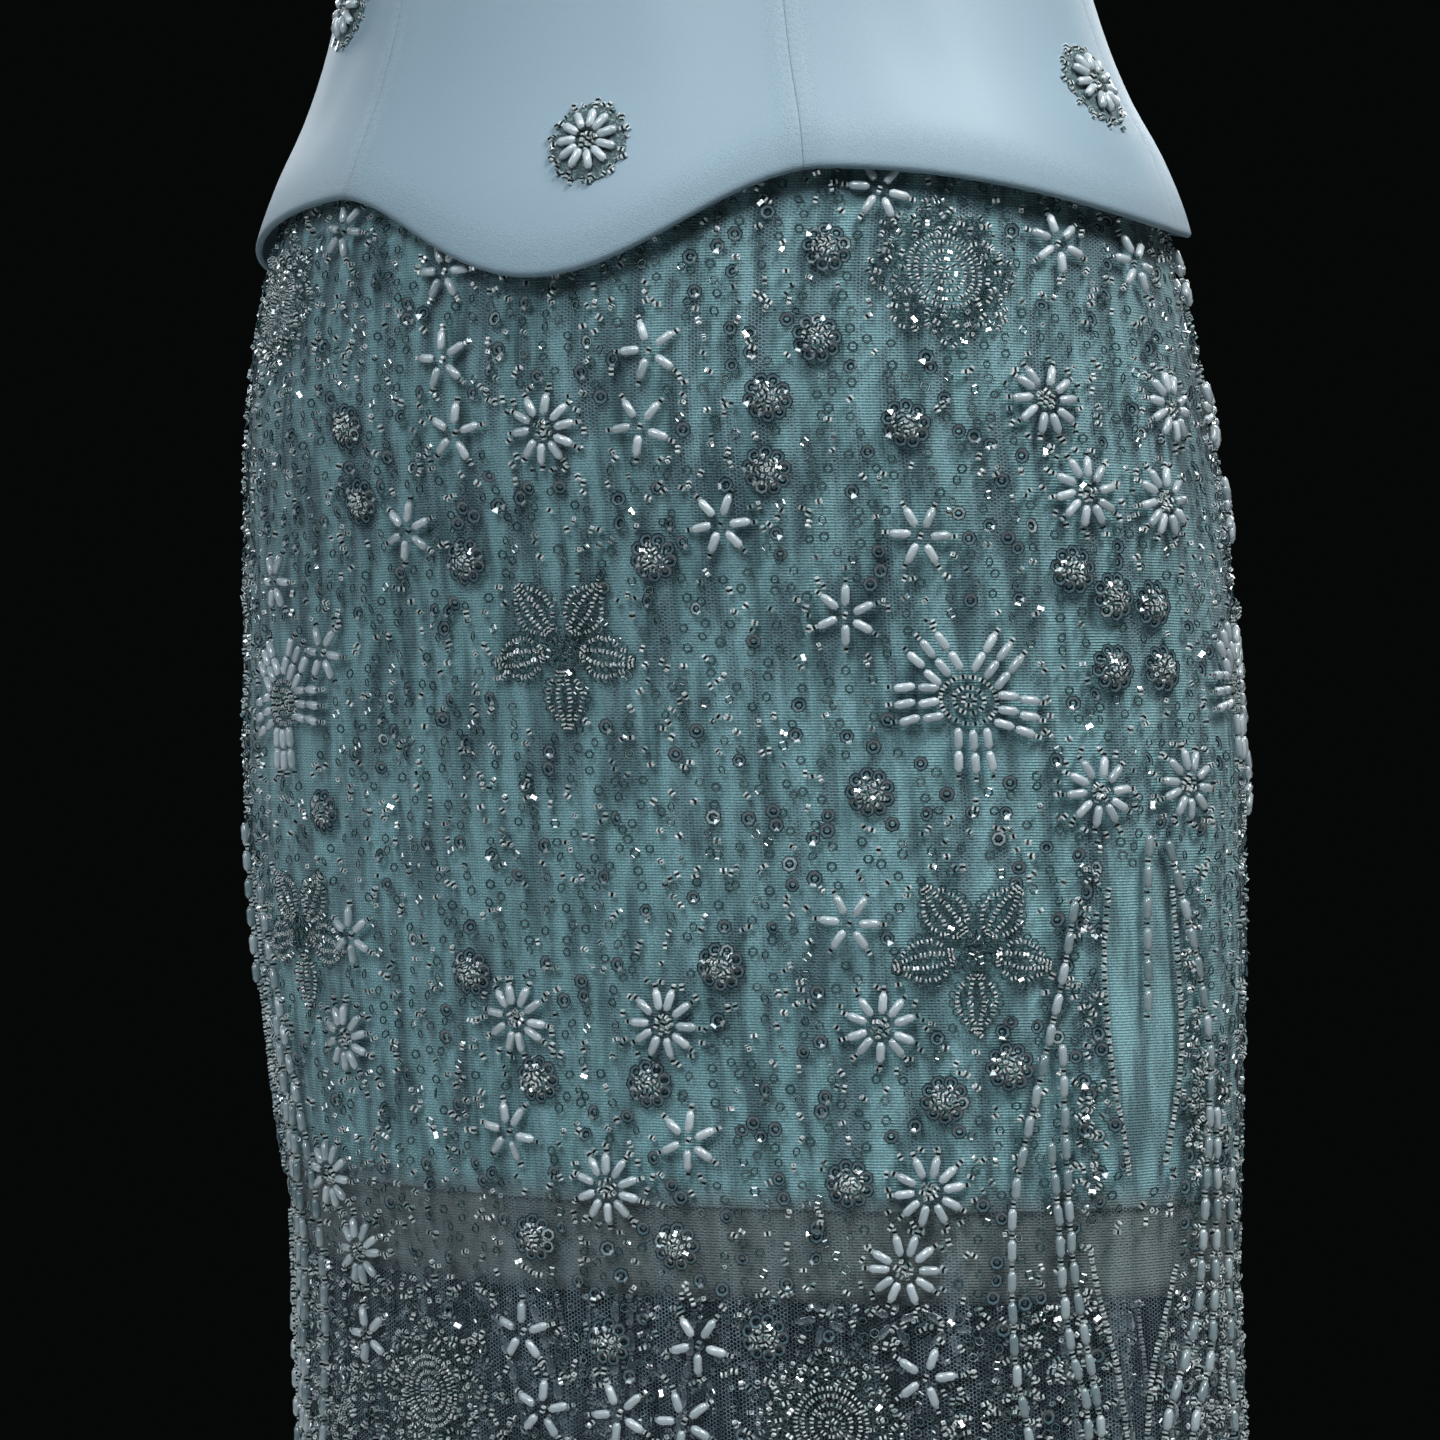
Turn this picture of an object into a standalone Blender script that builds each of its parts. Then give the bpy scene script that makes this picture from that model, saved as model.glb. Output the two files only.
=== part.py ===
"""Two-piece evening gown: a strapless top with a waved hem over a floor-length beaded column skirt.

Metres, +Z up. The wearer faces -Y and their left side is +X. The origin is on the wearer's axis at the
waist, where the gown is held. Angles run round the wearer from the centre front, towards the left side.
"""

import math
from collections import namedtuple

import bmesh
import bpy
from mathutils import Matrix, Vector

# Walls, gaps and grids
SEAM_GAP = 0.0003
LAYER_GAP = 0.0004
TOP_WALL = 0.0020
NET_WALL = 0.0010
SLIP_WALL = 0.0010
UNDERSLIP_WALL = 0.0010
BAND_WALL = 0.0030
COLUMN_STEP = math.radians(10.0)
SLOPE_STEP = 0.001

# Hem and neckline heights of the top
HEM_CREST = -0.1110
HEM_FRONT_DIP = 0.0320
HEM_SIDE_DIP = 0.0135
CREST_ANGLE = math.radians(33.0)
NECK_FRONT = 0.1900
NECK_CUP_RISE = 0.0260
NECK_BACK = 0.1500
HEM_ROLL_HEIGHT = 0.0050
HEM_ROLL_DEPTH = 0.0024
HEM_ROLL_MIDDLE = 0.4
TOP_ROW_COUNT = 12

# Bust shaping of the top's princess seams
CUP_RISE = 0.0170
CUP_ANGLE = math.radians(38.0)
CUP_SPREAD = math.radians(24.0)
CUP_HEIGHT = 0.1450
CUP_REACH = 0.0520
SEAM_RIDGE = 0.0012
SEAM_RIDGE_SPREAD = math.radians(5.0)

# Skirt heights
WAIST_TOP = 0.0
BAND_HEIGHT = 0.0300
SLIP_HEM = -0.4310
UNDERSLIP_HEM = -0.4595
SKIRT_HEM = -1.0600
FLUTE_COUNT = 8
FLUTE_DEPTH = 0.0060
FLUTE_TOP = -0.4800
FLUTE_GROWTH = 1.5

# Seams of the top, in degrees round the wearer
PRINCESS_SEAM = 30.0
SIDE_SEAM = 90.0
BACK_SEAM = 150.0
CENTRE_BACK = 180.0

# Concealed zips
ZIP_WIDTH = 0.0060
ZIP_WALL = 0.0012
TOP_ZIP_DROP = 0.0030
TOP_ZIP_ROWS = 11
SKIRT_ZIP_DROP = 0.0020
SKIRT_ZIP_ROWS = 5
SLIDER_WIDTH = 0.0044
SLIDER_HEIGHT = 0.0080
SLIDER_WALL = 0.0020
SLIDER_DROP = 0.0100
SLIDER_LIFT = 0.0004
BRIDGE_WIDTH = 0.0009
BRIDGE_WALL = 0.0008
BRIDGE_SLOT = 0.0018
BRIDGE_FOOT = 0.0001
PULL_WIDTH = 0.0042
PULL_NECK_WIDTH = 0.0032
PULL_WALL = 0.0010
PULL_LENGTH = 0.0150
PULL_EYE_WIDTH = 0.0017
PULL_EYE_DROP = 0.0032

Section = namedtuple("Section", "height side front back sway")
Motif = namedtuple("Motif", "angle height")
MotifShape = namedtuple("MotifShape", "lobes lobe_points first_lobe radius valley rise")

# Outer face of the top: half width at the side, depth in front of and behind the wearer's axis
TOP_SECTIONS = (
    Section(height=0.225, side=0.1500, front=0.1010, back=0.0900, sway=0.0),
    Section(height=0.160, side=0.1440, front=0.1030, back=0.0915, sway=0.0),
    Section(height=0.090, side=0.1290, front=0.0970, back=0.0890, sway=0.0),
    Section(height=0.030, side=0.1230, front=0.0915, back=0.0910, sway=0.0),
    Section(height=0.000, side=0.1225, front=0.0905, back=0.0910, sway=0.0),
    Section(height=-0.016, side=0.1262, front=0.0931, back=0.0932, sway=0.0),
    Section(height=-0.037, side=0.1318, front=0.0970, back=0.0970, sway=0.0),
    Section(height=-0.058, side=0.1380, front=0.1010, back=0.1010, sway=0.0005),
    Section(height=-0.078, side=0.1460, front=0.1060, back=0.1050, sway=0.0010),
    Section(height=-0.098, side=0.1566, front=0.1125, back=0.1110, sway=0.0015),
    Section(height=-0.118, side=0.1640, front=0.1195, back=0.1170, sway=0.0020),
    Section(height=-0.145, side=0.1695, front=0.1260, back=0.1230, sway=0.0025),
)

# Outer face of the skirt's net; sway is how far the hip and legs stand towards the wearer's left
SKIRT_SECTIONS = (
    Section(height=0.000, side=0.1198, front=0.0878, back=0.0858, sway=0.0),
    Section(height=-0.036, side=0.1276, front=0.0930, back=0.0915, sway=0.0),
    Section(height=-0.078, side=0.1412, front=0.1010, back=0.1000, sway=0.0005),
    Section(height=-0.110, side=0.1535, front=0.1105, back=0.1075, sway=0.0010),
    Section(height=-0.139, side=0.1616, front=0.1175, back=0.1140, sway=0.0018),
    Section(height=-0.179, side=0.1686, front=0.1215, back=0.1220, sway=0.0035),
    Section(height=-0.220, side=0.1728, front=0.1180, back=0.1275, sway=0.0055),
    Section(height=-0.260, side=0.1748, front=0.1130, back=0.1280, sway=0.0062),
    Section(height=-0.300, side=0.1770, front=0.1090, back=0.1240, sway=0.0075),
    Section(height=-0.340, side=0.1765, front=0.1060, back=0.1190, sway=0.0090),
    Section(height=-0.380, side=0.1742, front=0.1040, back=0.1150, sway=0.0110),
    Section(height=-0.431, side=0.1698, front=0.1030, back=0.1115, sway=0.0145),
    Section(height=-0.4595, side=0.1675, front=0.1020, back=0.1100, sway=0.0160),
    Section(height=-0.520, side=0.1672, front=0.1020, back=0.1090, sway=0.0190),
    Section(height=-0.700, side=0.1670, front=0.1045, back=0.1085, sway=0.0250),
    Section(height=-0.900, side=0.1700, front=0.1090, back=0.1130, sway=0.0285),
    Section(height=-1.060, side=0.1770, front=0.1180, back=0.1240, sway=0.0290),
)
HIP_ROWS = (-0.055, -0.085, -0.120, -0.160, -0.205, -0.260, -0.320, -0.380, SLIP_HEM)
LEG_ROWS = (UNDERSLIP_HEM, -0.520, -0.600, -0.700, -0.800, -0.900, -0.980, SKIRT_HEM)

# Raised beadwork: angle from the centre front in degrees, height in metres
TOP_FLOWERS = (
    Motif(5.0, -0.1010), Motif(-49.0, -0.0430), Motif(80.0, -0.0790), Motif(24.0, -0.0140),
    Motif(-20.0, 0.0600), Motif(58.0, 0.0700), Motif(-75.0, 0.0950), Motif(132.0, -0.0550),
    Motif(-128.0, -0.0850), Motif(-156.0, 0.0450), Motif(118.0, 0.0600),
)
SKIRT_SUNS = (
    Motif(44.0, -0.2740), Motif(-44.0, -0.2740), Motif(96.0, -0.2700), Motif(-96.0, -0.2700),
    Motif(150.0, -0.2900), Motif(-150.0, -0.2900), Motif(0.0, -0.6200), Motif(45.0, -0.6500),
    Motif(-45.0, -0.6500), Motif(180.0, -0.6400),
)
SKIRT_LEAVES = (
    Motif(0.0, -0.2580), Motif(43.0, -0.3510), Motif(-43.0, -0.3510), Motif(180.0, -0.2100),
    Motif(128.0, -0.3700), Motif(-128.0, -0.3700), Motif(28.0, -0.8000), Motif(-28.0, -0.8000),
)
SKIRT_ROSETTES = (
    Motif(47.0, -0.1430), Motif(-47.0, -0.1430), Motif(25.0, -0.4960), Motif(-25.0, -0.4960),
    Motif(135.0, -0.1700), Motif(-135.0, -0.1700),
)
FLOWER_SHAPE = MotifShape(lobes=10, lobe_points=2, first_lobe=0.0, radius=0.0125, valley=0.0100, rise=0.0026)
SUN_SHAPE = MotifShape(lobes=5, lobe_points=4, first_lobe=180.0, radius=0.0265, valley=0.0110, rise=0.0028)
LEAF_SHAPE = MotifShape(lobes=5, lobe_points=4, first_lobe=180.0, radius=0.0250, valley=0.0075, rise=0.0028)
ROSETTE_SHAPE = MotifShape(lobes=8, lobe_points=2, first_lobe=0.0, radius=0.0230, valley=0.0180, rise=0.0024)
MOTIF_GAP = 0.0009
MOTIF_SHOULDER = 0.62
MOTIF_FOOT_RING = 0.55
MOTIF_EDGE_RISE = 0.45
MOTIF_CROWN_RISE = 0.9


def clear_scene():
    for item in list(bpy.data.objects):
        bpy.data.objects.remove(item)


def material(name, colour, roughness, metallic=0.0):
    made = bpy.data.materials.new(name)
    made.use_nodes = True
    shader = made.node_tree.nodes["Principled BSDF"]
    shader.inputs["Base Color"].default_value = (*colour, 1.0)
    shader.inputs["Roughness"].default_value = roughness
    shader.inputs["Metallic"].default_value = metallic
    made.diffuse_color = (*colour, 1.0)
    return made


def along_table(sections, column, height):
    """Smooth value of one column at a height: a cubic through the rows with slopes that never overshoot."""
    rows = sorted(sections, key=lambda row: row.height)
    height = min(max(height, rows[0].height), rows[-1].height)
    steps = [b.height - a.height for a, b in zip(rows, rows[1:])]
    slopes = [(getattr(b, column) - getattr(a, column)) / step for a, b, step in zip(rows, rows[1:], steps)]
    place = next(i for i, row in enumerate(rows[1:]) if height <= row.height)

    def tangent(i):
        if i == 0 or i == len(rows) - 1:
            return slopes[min(i, len(slopes) - 1)]
        before, after = slopes[i - 1], slopes[i]
        return 0.0 if before * after <= 0 else 2 * before * after / (before + after)

    share = (height - rows[place].height) / steps[place]
    start, end = getattr(rows[place], column), getattr(rows[place + 1], column)
    rise, fall = tangent(place) * steps[place], tangent(place + 1) * steps[place]
    return (start * (1 + 2 * share) * (1 - share) ** 2 + rise * share * (1 - share) ** 2
            + end * share ** 2 * (3 - 2 * share) - fall * share ** 2 * (1 - share))


def bell(distance, spread):
    return math.exp(-(distance / spread) ** 2)


def wrapped(angle):
    """The same direction as an angle from minus a half turn to a half turn."""
    return math.atan2(math.sin(angle), math.cos(angle))


def ring_point(sections, angle, height, swell):
    """Point of an oval ring: x is the side size times the sine, y the front or back size times the cosine."""
    depth = along_table(sections, "front" if math.cos(angle) > 0 else "back", height)
    x = along_table(sections, "side", height) * math.sin(angle)
    y = -depth * math.cos(angle)
    out = Vector((x, y, 0.0)).normalized() * swell
    return Vector((x + out.x + along_table(sections, "sway", height), y + out.y, height))


def top_surface(angle, height):
    """The top's outer face: an oval ring with bust cups and a low ridge along each princess seam."""
    turn = abs(wrapped(angle))
    cup = CUP_RISE * bell(turn - CUP_ANGLE, CUP_SPREAD) * bell(height - CUP_HEIGHT, CUP_REACH)
    ridge = SEAM_RIDGE * bell(turn - math.radians(PRINCESS_SEAM), SEAM_RIDGE_SPREAD)
    above_hem = height - hem_line(angle)
    roll = HEM_ROLL_DEPTH * max(0.0, 1 - above_hem / HEM_ROLL_HEIGHT) ** 2
    return ring_point(TOP_SECTIONS, angle, height, cup + ridge - roll)


def skirt_surface(angle, height):
    """The net's outer face: an oval ring whose shallow flutes grow from the thigh down to the hem."""
    grown = min(max((FLUTE_TOP - height) / (FLUTE_TOP - SKIRT_HEM), 0.0), 1.0)
    flute = FLUTE_DEPTH * grown ** FLUTE_GROWTH * math.cos(FLUTE_COUNT * angle)
    return ring_point(SKIRT_SECTIONS, angle, height, flute)


def hem_line(angle):
    """Height of the top's hem: low at the centres and sides, highest at each crest between them."""
    turn = abs(wrapped(angle))
    turn = min(turn, math.pi - turn)
    if turn < CREST_ANGLE:
        return HEM_CREST - HEM_FRONT_DIP * (0.5 + 0.5 * math.cos(math.pi * turn / CREST_ANGLE))
    share = (turn - CREST_ANGLE) / (math.pi / 2 - CREST_ANGLE)
    return HEM_CREST - HEM_SIDE_DIP * (0.5 - 0.5 * math.cos(math.pi * share))


def neck_line(angle):
    """Height of the strapless neckline: a curve over each cup, falling smoothly to the centre back."""
    turn = abs(wrapped(angle))
    fall = (NECK_FRONT - NECK_BACK) * (0.5 - 0.5 * math.cos(turn))
    return NECK_FRONT - fall + NECK_CUP_RISE * bell(turn - CUP_ANGLE, CUP_SPREAD)


def slopes(surface, angle, height):
    """How far a surface's point moves for each radian round and for each metre up."""
    round_it = surface(angle + SLOPE_STEP, height) - surface(angle - SLOPE_STEP, height)
    up_it = surface(angle, height + SLOPE_STEP) - surface(angle, height - SLOPE_STEP)
    return round_it / (2 * SLOPE_STEP), up_it / (2 * SLOPE_STEP)


def outward(surface, angle, height):
    """Unit normal of a surface, from its slopes round and up."""
    round_it, up_it = slopes(surface, angle, height)
    return round_it.cross(up_it).normalized()


def on_panel(surface, rows_at, angle, height):
    """Point on the flat facets between a panel's columns and rows, which the smooth surface stands off."""
    def on_column(column):
        rows = rows_at(column)
        place = next((i for i, row in enumerate(rows[1:]) if row <= height), len(rows) - 2)
        share = (height - rows[place + 1]) / (rows[place] - rows[place + 1])
        return surface(column, rows[place + 1]).lerp(surface(column, rows[place]), share)

    place = math.floor(angle / COLUMN_STEP)
    near, far = on_column(place * COLUMN_STEP), on_column((place + 1) * COLUMN_STEP)
    return near.lerp(far, angle / COLUMN_STEP - place)


def mesh_object(name, points, faces, finish):
    mesh = bpy.data.meshes.new(name)
    mesh.from_pydata([tuple(point) for point in points], [], faces)
    mesh.materials.append(finish)
    mesh.shade_smooth()
    mesh.set_sharp_from_angle(angle=math.radians(40.0))
    made = bpy.data.objects.new(name, mesh)
    bpy.context.scene.collection.objects.link(made)
    return made


def cloth_wall(name, surface, angles, heights_at, inset, wall, finish):
    """Closed wall: an outer grid inset from a surface, the same grid one wall further in, and four rims."""
    outer, inner = [], []
    for angle in angles:
        for height in heights_at(angle):
            point, normal = surface(angle, height), outward(surface, angle, height)
            outer.append(point - normal * inset)
            inner.append(point - normal * (inset + wall))
    columns, rows = len(angles), len(heights_at(angles[0]))
    back = columns * rows
    faces = []
    for i in range(columns - 1):
        for j in range(rows - 1):
            a, b, c, d = i * rows + j, i * rows + j + 1, (i + 1) * rows + j + 1, (i + 1) * rows + j
            faces.append((a, b, c, d))
            faces.append((back + a, back + d, back + c, back + b))
    for i in range(columns - 1):
        top, under = i * rows, i * rows + rows - 1
        faces.append((top, top + rows, back + top + rows, back + top))
        faces.append((under, back + under, back + under + rows, under + rows))
    for j in range(rows - 1):
        near, far = j, (columns - 1) * rows + j
        faces.append((near, back + near, back + near + 1, near + 1))
        faces.append((far, far + 1, back + far + 1, back + far))
    return mesh_object(name, outer + inner, faces, finish)


def panel_angles(start, end, step, radius):
    """Columns from one seam to the next, each end held half a seam gap back."""
    start, end = math.radians(start), math.radians(end)
    count = round((end - start) / step)
    hold = SEAM_GAP / 2 / radius
    angles = [start + (end - start) * i / count for i in range(count + 1)]
    angles[0] += hold
    angles[-1] -= hold
    return angles


def top_heights(angle):
    """Rows of a top panel, from the neckline down to the rolled hem."""
    neck, hem = neck_line(angle), hem_line(angle)
    above_roll = hem + HEM_ROLL_HEIGHT
    rows = [neck + (above_roll - neck) * i / TOP_ROW_COUNT for i in range(TOP_ROW_COUNT + 1)]
    return rows + [hem + HEM_ROLL_HEIGHT * HEM_ROLL_MIDDLE, hem]


def make_top(satin):
    panels = {
        "top_front": (-PRINCESS_SEAM, PRINCESS_SEAM),
        "top_side_front_left": (PRINCESS_SEAM, SIDE_SEAM),
        "top_side_front_right": (-SIDE_SEAM, -PRINCESS_SEAM),
        "top_side_back_left": (SIDE_SEAM, BACK_SEAM),
        "top_side_back_right": (-BACK_SEAM, -SIDE_SEAM),
        "top_back_left": (BACK_SEAM, CENTRE_BACK),
        "top_back_right": (-CENTRE_BACK, -BACK_SEAM),
    }
    least_radius = min(section.back for section in TOP_SECTIONS)
    for name, (start, end) in panels.items():
        angles = panel_angles(start, end, COLUMN_STEP, least_radius)
        cloth_wall(name, top_surface, angles, top_heights, 0.0, TOP_WALL, satin)


def skirt_heights(angle):
    """Rows of the net below the waistband, the same at every angle."""
    return [WAIST_TOP - BAND_HEIGHT - SEAM_GAP, *HIP_ROWS, *LEG_ROWS]


def make_skirt(net, jersey, pale_jersey):
    halves = {"front": (-SIDE_SEAM, SIDE_SEAM), "back": (SIDE_SEAM, 2 * CENTRE_BACK - SIDE_SEAM)}
    band_foot = WAIST_TOP - BAND_HEIGHT
    slip_inset = NET_WALL + LAYER_GAP
    underslip_inset = slip_inset + SLIP_WALL + LAYER_GAP
    side_radius = SKIRT_SECTIONS[0].side
    rows = skirt_heights(0.0)
    slip_rows = 1 + len(HIP_ROWS)
    layers = (
        ("net", 0.0, NET_WALL, rows, net),
        ("slip", slip_inset, SLIP_WALL, rows[:slip_rows], jersey),
        ("underslip", underslip_inset, UNDERSLIP_WALL, rows[:slip_rows + 1], pale_jersey),
        ("waistband", 0.0, BAND_WALL, [WAIST_TOP, (WAIST_TOP + band_foot) / 2, band_foot], jersey),
    )
    for half, (start, end) in halves.items():
        angles = panel_angles(start, end, COLUMN_STEP, side_radius)
        for layer, inset, wall, heights, finish in layers:
            cloth_wall(f"skirt_{layer}_{half}", skirt_surface, angles,
                       lambda angle, heights=heights: heights, inset, wall, finish)
    return underslip_inset + UNDERSLIP_WALL


def make_zip_tape(name, surface, middle, heights, inset, finish):
    """A closed zip's tape: a narrow strip that lies inside the seam from its top to its stop."""
    half = ZIP_WIDTH / 2 / (surface(middle, heights[0]).xy.length)
    angles = [middle - half, middle, middle + half]
    cloth_wall(name, surface, angles, lambda angle: heights, inset + SEAM_GAP, ZIP_WALL, finish)


def block(name, low, high, finish):
    """A box between two corners."""
    shell = bmesh.new()
    size = Matrix.Diagonal((*(high - low), 1.0))
    bmesh.ops.create_cube(shell, size=1.0, matrix=Matrix.Translation((low + high) / 2) @ size)
    return finished_mesh(name, shell, finish)


def flat_plate(name, outline, wall, finish):
    """A plate of an outline of X and Z points, a wall thick, centred on the X-Z plane."""
    shell = bmesh.new()
    face = shell.faces.new([shell.verts.new((x, -wall / 2, z)) for x, z in outline])
    grown = bmesh.ops.extrude_face_region(shell, geom=[face])
    bmesh.ops.translate(shell, verts=[v for v in grown["geom"] if isinstance(v, bmesh.types.BMVert)],
                        vec=(0.0, wall, 0.0))
    return finished_mesh(name, shell, finish)


def finished_mesh(name, shell, finish):
    bmesh.ops.recalc_face_normals(shell, faces=shell.faces)
    mesh = bpy.data.meshes.new(name)
    shell.to_mesh(mesh)
    shell.free()
    mesh.materials.append(finish)
    made = bpy.data.objects.new(name, mesh)
    bpy.context.scene.collection.objects.link(made)
    return made


def combine(target, tool, operation):
    """Adds a tool's shape to a target, or cuts it out; the tool itself is only a guide."""
    tool.hide_render = True
    tool.display_type = "WIRE"
    step = target.modifiers.new(tool.name, "BOOLEAN")
    step.operation = operation
    step.object = tool


def make_top_zip(metal, tape):
    """The concealed centre-back zip: its tape, the slider with its bridge, and the pull tab in the bridge."""
    middle = math.radians(CENTRE_BACK)
    neck = neck_line(middle)
    heights = [neck - TOP_ZIP_DROP, *top_heights(middle)[1:TOP_ZIP_ROWS]]
    make_zip_tape("top_zip", top_surface, middle, heights, TOP_WALL, tape)

    level = neck - SLIDER_DROP
    cloth = max(top_surface(middle, level + side * SLIDER_HEIGHT / 2).y for side in (-1, 1))
    seat = cloth + SLIDER_LIFT
    face = seat + SLIDER_WALL
    pivot = Vector((0.0, face + BRIDGE_SLOT / 2, level))
    half_slot = BRIDGE_SLOT / 2
    reach = half_slot + BRIDGE_WALL

    slider = block("top_zip_slider", Vector((-SLIDER_WIDTH / 2, seat, level - SLIDER_HEIGHT / 2)),
                   Vector((SLIDER_WIDTH / 2, face, level + SLIDER_HEIGHT / 2)), metal)
    bridge = block("slider_bridge", Vector((-BRIDGE_WIDTH / 2, seat + SLIDER_WALL / 2, level - reach)),
                   Vector((BRIDGE_WIDTH / 2, pivot.y + reach, level + reach)), metal)
    slot = block("bridge_slot", Vector((-SLIDER_WIDTH, face + BRIDGE_FOOT, level - half_slot)),
                 Vector((SLIDER_WIDTH, pivot.y + half_slot, level + half_slot)), metal)
    combine(slider, bridge, "UNION")
    combine(slider, slot, "DIFFERENCE")
    make_zip_pull(pivot, metal)


def make_zip_pull(pivot, metal):
    """A flat tab hung by its head in the bridge; its origin is on the axis it swings about."""
    head = PULL_WALL / 2
    neck, widest = PULL_NECK_WIDTH / 2, PULL_WIDTH / 2
    foot = head - PULL_LENGTH
    outline = ((neck, head), (neck, -PULL_EYE_DROP), (widest, foot + PULL_WIDTH), (neck, foot),
               (-neck, foot), (-widest, foot + PULL_WIDTH), (-neck, -PULL_EYE_DROP), (-neck, head))
    pull = flat_plate("top_zip_pull", outline, PULL_WALL, metal)
    eye = block("pull_eye", Vector((-PULL_EYE_WIDTH / 2, -PULL_WALL, -PULL_EYE_DROP + head)),
                Vector((PULL_EYE_WIDTH / 2, PULL_WALL, -head)), metal)
    combine(pull, eye, "DIFFERENCE")
    pull.location = pivot
    eye.location = pivot


def lobed_edge(shape, turn):
    """Distance from a motif's middle to its edge: full radius on a lobe, valley between two lobes."""
    wave = 0.5 + 0.5 * math.cos(shape.lobes * (turn - math.radians(shape.first_lobe)))
    return shape.valley + (shape.radius - shape.valley) * math.sqrt(wave)


def make_motif(name, surface, rows_at, motif, shape, finish):
    """A low lobed mound that follows the cloth: points of the panel, moved out by a gap and by its rise."""
    middle, height = math.radians(motif.angle), motif.height
    round_it, up_it = slopes(surface, middle, height)
    per_turn, per_rise = round_it.length, up_it.length

    def moved_out(distance, turn, lift):
        angle = middle + distance * math.sin(turn) / per_turn
        at = height + distance * math.cos(turn) / per_rise
        return on_panel(surface, rows_at, angle, at) + outward(surface, angle, at) * (MOTIF_GAP + lift)

    count = shape.lobes * shape.lobe_points
    turns = [2 * math.pi * i / count for i in range(count)]
    rings = (
        (MOTIF_FOOT_RING, 0.0),
        (1.00, 0.0),
        (1.00, shape.rise * MOTIF_EDGE_RISE),
        (MOTIF_SHOULDER, shape.rise),
    )
    points = [moved_out(lobed_edge(shape, turn) * share, turn, lift)
              for share, lift in rings for turn in turns]
    points += [moved_out(0.0, 0.0, shape.rise * MOTIF_CROWN_RISE), moved_out(0.0, 0.0, 0.0)]
    crown, foot = len(points) - 2, len(points) - 1
    faces = []
    for i in range(count):
        k = (i + 1) % count
        for ring in range(len(rings) - 1):
            low, high = ring * count, (ring + 1) * count
            faces.append((low + i, high + i, high + k, low + k))
        last = (len(rings) - 1) * count
        faces.append((last + i, crown, last + k))
        faces.append((k, foot, i))
    mesh_object(name, points, faces, finish)


def make_beadwork(pearl, silver):
    groups = (
        ("top_flower", top_surface, top_heights, TOP_FLOWERS, FLOWER_SHAPE, pearl),
        ("skirt_sun", skirt_surface, skirt_heights, SKIRT_SUNS, SUN_SHAPE, pearl),
        ("skirt_leaf_flower", skirt_surface, skirt_heights, SKIRT_LEAVES, LEAF_SHAPE, silver),
        ("skirt_rosette", skirt_surface, skirt_heights, SKIRT_ROSETTES, ROSETTE_SHAPE, silver),
    )
    for name, surface, rows_at, motifs, shape, finish in groups:
        for number, motif in enumerate(motifs, start=1):
            make_motif(f"{name}_{number:02d}", surface, rows_at, motif, shape, finish)


def main():
    clear_scene()
    satin = material("ice_satin", (0.45, 0.58, 0.66), 0.42)
    net = material("aqua_net", (0.25, 0.42, 0.44), 0.60)
    jersey = material("aqua_jersey", (0.22, 0.43, 0.42), 0.75)
    pale_jersey = material("pale_jersey", (0.42, 0.46, 0.44), 0.75)
    pearl = material("pearl", (0.72, 0.80, 0.80), 0.20)
    silver = material("silver_beads", (0.50, 0.58, 0.60), 0.25, 0.6)
    metal = material("zip_metal", (0.62, 0.66, 0.68), 0.30, 1.0)
    tape = material("zip_tape", (0.40, 0.52, 0.58), 0.70)

    make_top(satin)
    skirt_inside = make_skirt(net, jersey, pale_jersey)
    make_top_zip(metal, tape)
    zip_rows = [WAIST_TOP - SKIRT_ZIP_DROP, -BAND_HEIGHT / 2, -BAND_HEIGHT, *HIP_ROWS[:SKIRT_ZIP_ROWS]]
    make_zip_tape("skirt_zip", skirt_surface, math.radians(SIDE_SEAM), zip_rows, skirt_inside, tape)
    make_beadwork(pearl, silver)


main()
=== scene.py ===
import math
import bmesh
import bpy
import numpy as np
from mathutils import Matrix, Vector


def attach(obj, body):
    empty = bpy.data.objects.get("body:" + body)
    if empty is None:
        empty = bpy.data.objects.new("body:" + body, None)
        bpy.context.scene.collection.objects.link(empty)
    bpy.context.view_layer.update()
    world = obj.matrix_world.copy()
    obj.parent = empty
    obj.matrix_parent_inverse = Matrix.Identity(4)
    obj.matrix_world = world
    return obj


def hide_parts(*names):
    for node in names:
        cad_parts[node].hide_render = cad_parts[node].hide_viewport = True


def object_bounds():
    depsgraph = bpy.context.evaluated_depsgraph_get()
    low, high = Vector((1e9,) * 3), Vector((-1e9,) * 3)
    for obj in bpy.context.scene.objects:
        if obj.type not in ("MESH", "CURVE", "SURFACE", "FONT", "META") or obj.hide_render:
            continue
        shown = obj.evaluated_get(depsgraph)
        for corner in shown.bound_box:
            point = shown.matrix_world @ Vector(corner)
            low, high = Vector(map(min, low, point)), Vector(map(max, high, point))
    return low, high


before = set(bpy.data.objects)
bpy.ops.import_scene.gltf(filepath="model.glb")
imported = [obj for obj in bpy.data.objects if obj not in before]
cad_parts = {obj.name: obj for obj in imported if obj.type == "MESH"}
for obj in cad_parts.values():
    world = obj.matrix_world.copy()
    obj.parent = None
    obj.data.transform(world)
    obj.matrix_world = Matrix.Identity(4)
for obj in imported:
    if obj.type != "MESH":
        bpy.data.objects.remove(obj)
cadLow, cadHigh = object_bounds()
print("the packed gown is loaded:", len(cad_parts), "nodes")

# Everything is in metres. Angles run round the wearer from the centre front towards the left side (+X).

# SHAPE OF THE GOWN: the rings, hem and neckline that the solids are made from
ringColumns = ("height", "side", "front", "back", "sway")


def ringTable(*rows):
    # rows sorted by height, kept as one array for each named column
    return dict(zip(ringColumns, np.array(sorted(rows)).T))


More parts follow.
